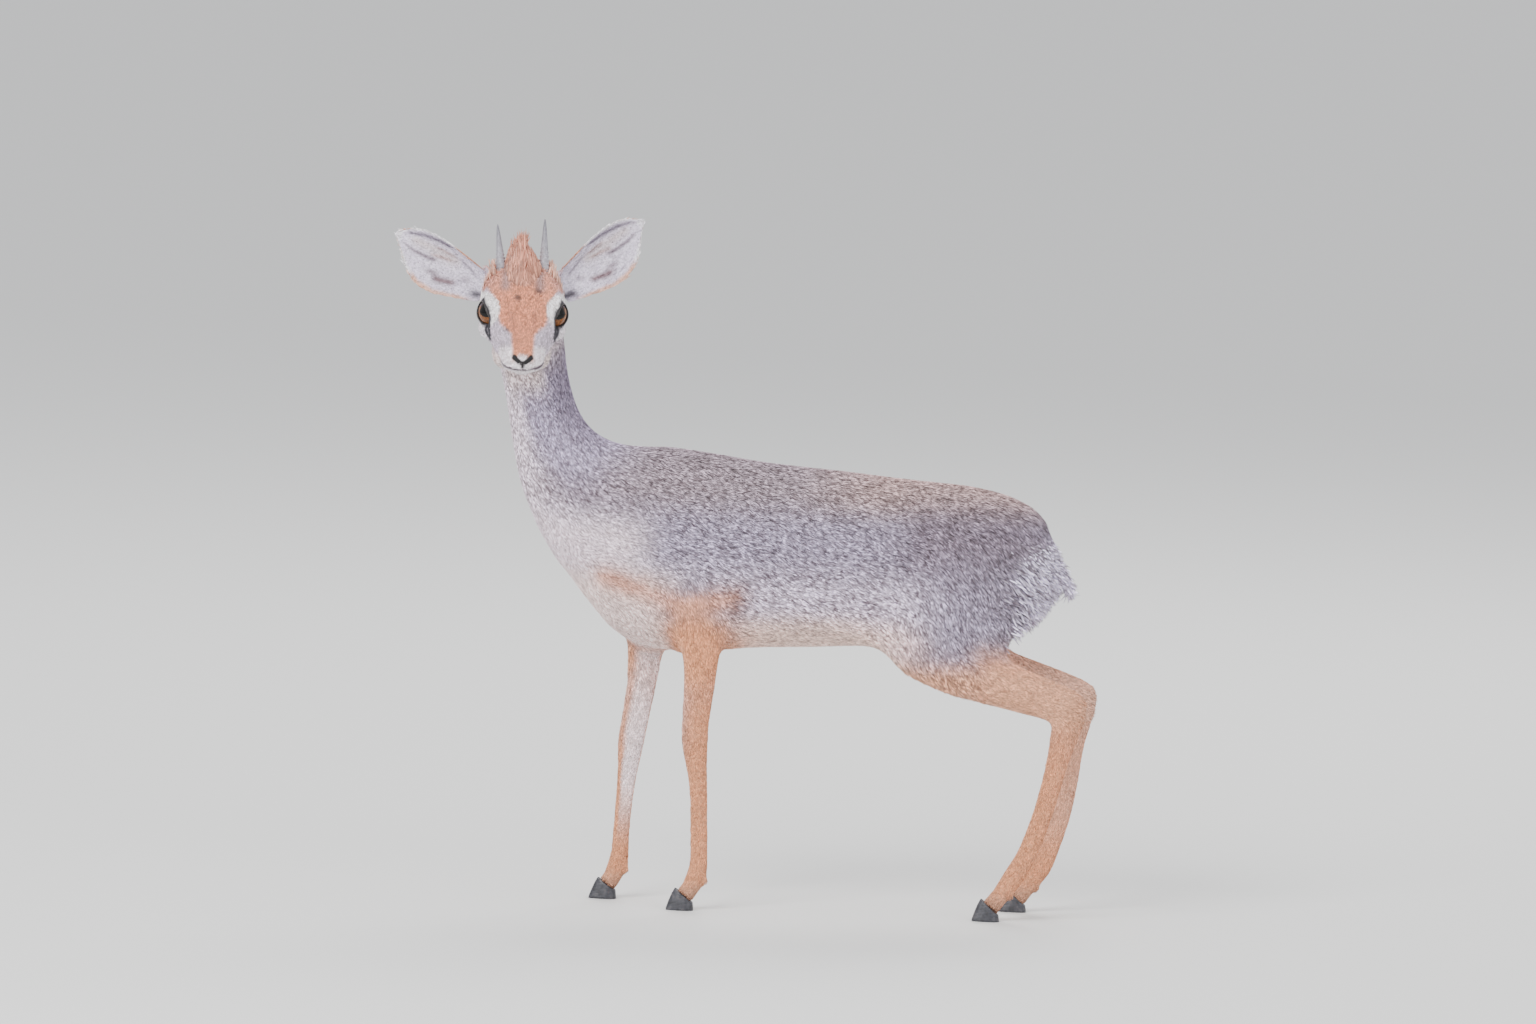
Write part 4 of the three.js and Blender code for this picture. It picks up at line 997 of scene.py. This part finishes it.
place = added(tree, "ShaderNodeTexCoord").outputs["Object"]
fibres = noise(tree, place, 900.0, 5.0)["Fac"]
amber = ((0.3, (0.07, 0.024, 0.008)), (0.55, (0.2, 0.07, 0.02)), (0.8, (0.38, 0.15, 0.04)))
iris = ramp(tree, fibres, amber)
pupil_edge = ramp(tree, eye_math("MULTIPLY", oval(5.8, 4.3), 0.5), ((0.42, 0.002), (0.56, 1.0)))
limbus = ramp(tree, eye_math("MULTIPLY", oval(11.0, 11.0), 0.5), ((0.3, 1.0), (0.52, 0.03)))
# Painted shadow of the upper lid: the iris darkens towards its top.
painted_lid_shadow = ramp(tree, eye_math("MULTIPLY_ADD", up_eye, 0.05, 0.5), ((0.48, 1.0), (0.62, 0.06)))
tree.links.new(product(tree, iris, pupil_edge, limbus, painted_lid_shadow), shader.inputs["Base Color"])
lid_paint = painted("lid", 0.35)
lid_tree = lid_paint.node_tree
lid_place = added(lid_tree, "ShaderNodeTexCoord").outputs["Object"]
lid_flecks = noise(lid_tree, lid_place, 1500.0, 3.0)["Fac"]
bare_black = ((0.35, (0.01, 0.008, 0.008)), (0.7, (0.035, 0.027, 0.026)))
lid_tone = ramp(lid_tree, lid_flecks, bare_black)
lid_tree.links.new(lid_tone, lid_tree.nodes["Principled BSDF"].inputs["Base Color"])
eye_radius = 11.7
lid_radius = 12.7
ball_rings = 40
ball_sides = 64
rim_steps = 72
tube_sides = 8


def whole_turn(sides):
    return np.linspace(0.0, 2.0 * math.pi, sides, endpoint=False)


def ring_mesh(name, rings, closed_ends=True):
    sides = len(rings[0])
    corners = [tuple(point) for ring in rings for point in ring]
    faces = []
    for r in range(len(rings) - 1):
        for i in range(sides):
            a = r * sides + i
            b = r * sides + (i + 1) % sides
            faces.append((a, b, b + sides, a + sides))
    if closed_ends:
        faces.append(tuple(reversed(range(sides))))
        faces.append(tuple(range((len(rings) - 1) * sides, len(rings) * sides)))
    made = bpy.data.meshes.new(name)
    made.from_pydata(corners, [], faces)
    shape = bmesh.new()
    shape.from_mesh(made)
    bmesh.ops.recalc_face_normals(shape, faces=shape.faces)
    shape.to_mesh(made)
    shape.free()
    smooth_faces(made)
    return made


for hand, side in ((-1, "right"), (1, "left")):
    centre, axis, level, high = eye_frame(hand)
    rings = []
    for polar in np.linspace(0.02, math.pi - 0.02, ball_rings):
        ring = []
        for turn_round in whole_turn(ball_sides):
            flat_part = level * math.cos(turn_round) + high * math.sin(turn_round)
            ring.append(axis * math.cos(polar) + flat_part * math.sin(polar))
        rings.append(ring)
    directions = np.array(rings).reshape(-1, 3)
    ball = to_world(centre + directions * eye_radius).reshape(ball_rings, ball_sides, 3)
    eye_mesh = ring_mesh(f"eye_{side}_ball", ball)
    for label, way, shift in (("across_eye", level, 3.4), ("up_eye", high, 3.2)):
        keep_value(eye_mesh, label, directions @ way * eye_radius - shift)
    eye_mesh.materials.append(eye_paint)
    eye_ball = new_object(f"eye_{side}_ball", eye_mesh)
    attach(eye_ball, "root")
    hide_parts(f"eye_{side}")
    rim = []
    for turn_round in whole_turn(rim_steps):
        long_way = math.cos(turn_round) * (11.2 if math.cos(turn_round) > 0.0 else 10.2)
        high_way = math.sin(turn_round) * 9.0 * (1.0 - 0.2 * abs(math.cos(turn_round))) - 0.3 * long_way
        depth_now = math.sqrt(max(4.0, lid_radius**2 - long_way**2 - high_way**2))
        rim.append(centre + level * long_way + high * high_way + axis * depth_now)
    rim = np.array(rim)
    tube = []
    for i, point in enumerate(rim):
        ahead = rim[(i + 1) % len(rim)] - rim[i - 1]
        ahead /= np.linalg.norm(ahead)
        rise = (point - centre) / np.linalg.norm(point - centre)
        aside_way = np.cross(ahead, rise)
        ring = []
        for t in whole_turn(tube_sides):
            ring.append(to_world(point + aside_way * 1.1 * math.cos(t) + rise * 0.7 * math.sin(t)))
        tube.append(ring)
    tube.append(tube[0])
    lid_mesh = ring_mesh(f"lid_rim_{side}", tube, closed_ends=False)
    lid_mesh.materials.append(lid_paint)
    lid_rim = new_object(f"lid_rim_{side}", lid_mesh)
    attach(lid_rim, "root")

# Horns: short straight spikes of dark horn on bony cores, set behind the eyes and leaning back.
# Rings stand round the lower half, and the tips are smooth and darker.
horn_steps = 90
horn_sides = 28
horn_rings = 15
horn_foot = (17, -20, 20)
horn_paint = painted("horn", 0.45)
tree = horn_paint.node_tree
shader = tree.nodes["Principled BSDF"]
along_horn = added(tree, "ShaderNodeAttribute", {"attribute_name": "along_horn"}).outputs["Fac"]
place = added(tree, "ShaderNodeTexCoord").outputs["Object"]
stretch = added(tree, "ShaderNodeMapping", None, {"Vector": place, "Scale": (900.0, 900.0, 60.0)}).outputs[0]
grain = noise(tree, stretch, 1.0, 4.0)["Fac"]
foot_to_tip = ((0.0, (0.3, 0.26, 0.27)), (0.3, (0.36, 0.34, 0.38)), (1.0, (0.16, 0.155, 0.18)))
length_tone = ramp(tree, along_horn, foot_to_tip)
grain_tone = ramp(tree, grain, ((0.3, 0.6), (0.7, 1.25)))
tree.links.new(product(tree, length_tone, grain_tone), shader.inputs["Base Color"])
roughen(tree, grain, 0.5, 0.0004)
lean = head_muzzle * -0.72 + head_crown * 0.69
lean /= np.linalg.norm(lean)
deep_way = np.cross(lean, head_out)
for hand, side, tip_out, horn_length in ((-1, "right", 22.4, 43.5), (1, "left", 16.2, 49.5)):
    rings = []
    heights = []
    for i in range(horn_steps + 1):
        t = i / horn_steps
        wave = 0.5 + 0.5 * math.cos(t * 2.0 * math.pi * horn_rings)
        ridge = 0.55 * wave**2 * (1.0 - smoothstep(t, 0.4, 0.62))
        radius = 4.3 * (1.0 - t) ** 0.66 + 0.3 + ridge
        foot = on_head(hand * horn_foot[0], *horn_foot[1:])
        middle = foot + lean * horn_length * t + head_crown * 3.0 * t * t
        middle = middle + head_out * hand * (tip_out - horn_foot[0]) * t
        round_horn = [head_out * math.cos(a) + deep_way * math.sin(a) for a in whole_turn(horn_sides)]
        rings.append([to_world(middle + way * radius) for way in round_horn])
        heights += [t] * horn_sides
    horn_mesh = ring_mesh(f"horn_{side}_ringed", rings)
    keep_value(horn_mesh, "along_horn", heights)
    horn_mesh.materials.append(horn_paint)
    horn = new_object(f"horn_{side}_ringed", horn_mesh)
    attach(horn, "root")
    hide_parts(f"horn_{side}")

# Hooves: narrow, pointed and cloven, of smooth blue-black horn with fine growth lines round them.
# Each half closes the end of one toe and has its solid's shape, with the edges eased.
hoof_grain = 0.0006
hoof_paint = painted("hoof", 0.4)
tree = hoof_paint.node_tree
shader = tree.nodes["Principled BSDF"]
place = added(tree, "ShaderNodeTexCoord").outputs["Object"]
growth = {"Vector": place, "Scale": 260.0, "Distortion": 3.0, "Detail": 2.0}
lines = added(tree, "ShaderNodeTexWave", {"bands_direction": "Z"}, growth)
wear = noise(tree, place, 260.0, 5.0)["Fac"]
blue_black = ((0.3, (0.018, 0.018, 0.022)), (0.55, (0.045, 0.045, 0.055)), (0.8, (0.11, 0.1, 0.1)))
tone = ramp(tree, wear, blue_black)
banding = ramp(tree, lines.outputs["Fac"], ((0.0, 0.75), (1.0, 1.1)))
tree.links.new(product(tree, tone, banding), shader.inputs["Base Color"])
roughen(tree, lines.outputs["Fac"], 0.35, 0.0003)
for leg in leg_names:
    for half in ("a", "b"):
        source = f"hoof_{leg}_{half}"
        horny = node_copy(source)
        block_mesh = bpy.data.meshes.new("hoof_block")
        horny.to_mesh(block_mesh)
        horny.free()
        block = new_object("hoof_block", block_mesh)
        close = block.modifiers.new("close", "REMESH")
        close.mode = "VOXEL"
        close.voxel_size = hoof_grain
        ease = block.modifiers.new("ease", "SMOOTH")
        ease.iterations = 5
        ease.factor = 0.5
        hoof_mesh = evaluated_mesh(block)
        bpy.data.objects.remove(block)
        smooth_faces(hoof_mesh)
        hoof_mesh.materials.clear()
        hoof_mesh.materials.append(hoof_paint)
        hoof = new_object(f"{source}_horn", hoof_mesh)
        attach(hoof, "root")
        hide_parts(source)

# Floor and light: a plain pale floor and broad soft lamps, as in a studio.
floor_mesh = bpy.data.meshes.new("floor")
floor_mesh.from_pydata([(-30, -30, 0), (30, -30, 0), (30, 30, 0), (-30, 30, 0)], [], [(0, 1, 2, 3)])
floor = new_object("floor", floor_mesh)
floor_paint = painted("floor", 0.85)
floor_paint.node_tree.nodes["Principled BSDF"].inputs["Base Color"].default_value = (0.72, 0.72, 0.7, 1.0)
floor_mesh.materials.append(floor_paint)
world = bpy.data.worlds.new("studio")
world.use_nodes = True
world.node_tree.nodes["Background"].inputs["Color"].default_value = (0.95, 0.96, 1.0, 1.0)
world.node_tree.nodes["Background"].inputs["Strength"].default_value = 1.1
bpy.context.scene.world = world
for name, lamp_place, lamp_size, power in (
    ("key", (-1.6, -2.6, 2.6), 1.8, 142.0),
    ("fill", (2.4, -2.4, 1.4), 2.2, 38.0),
    ("rim", (0.6, 2.2, 2.4), 1.6, 60.0),
):
    lamp_data = bpy.data.lights.new(name, "AREA")
    lamp_data.size = lamp_size
    lamp_data.energy = power
    lamp = new_object(name, lamp_data)
    lamp.location = lamp_place
    facing = Vector((0.0, 0.0, 0.3)) - Vector(lamp_place)
    lamp.rotation_euler = facing.to_track_quat("-Z", "Y").to_euler()
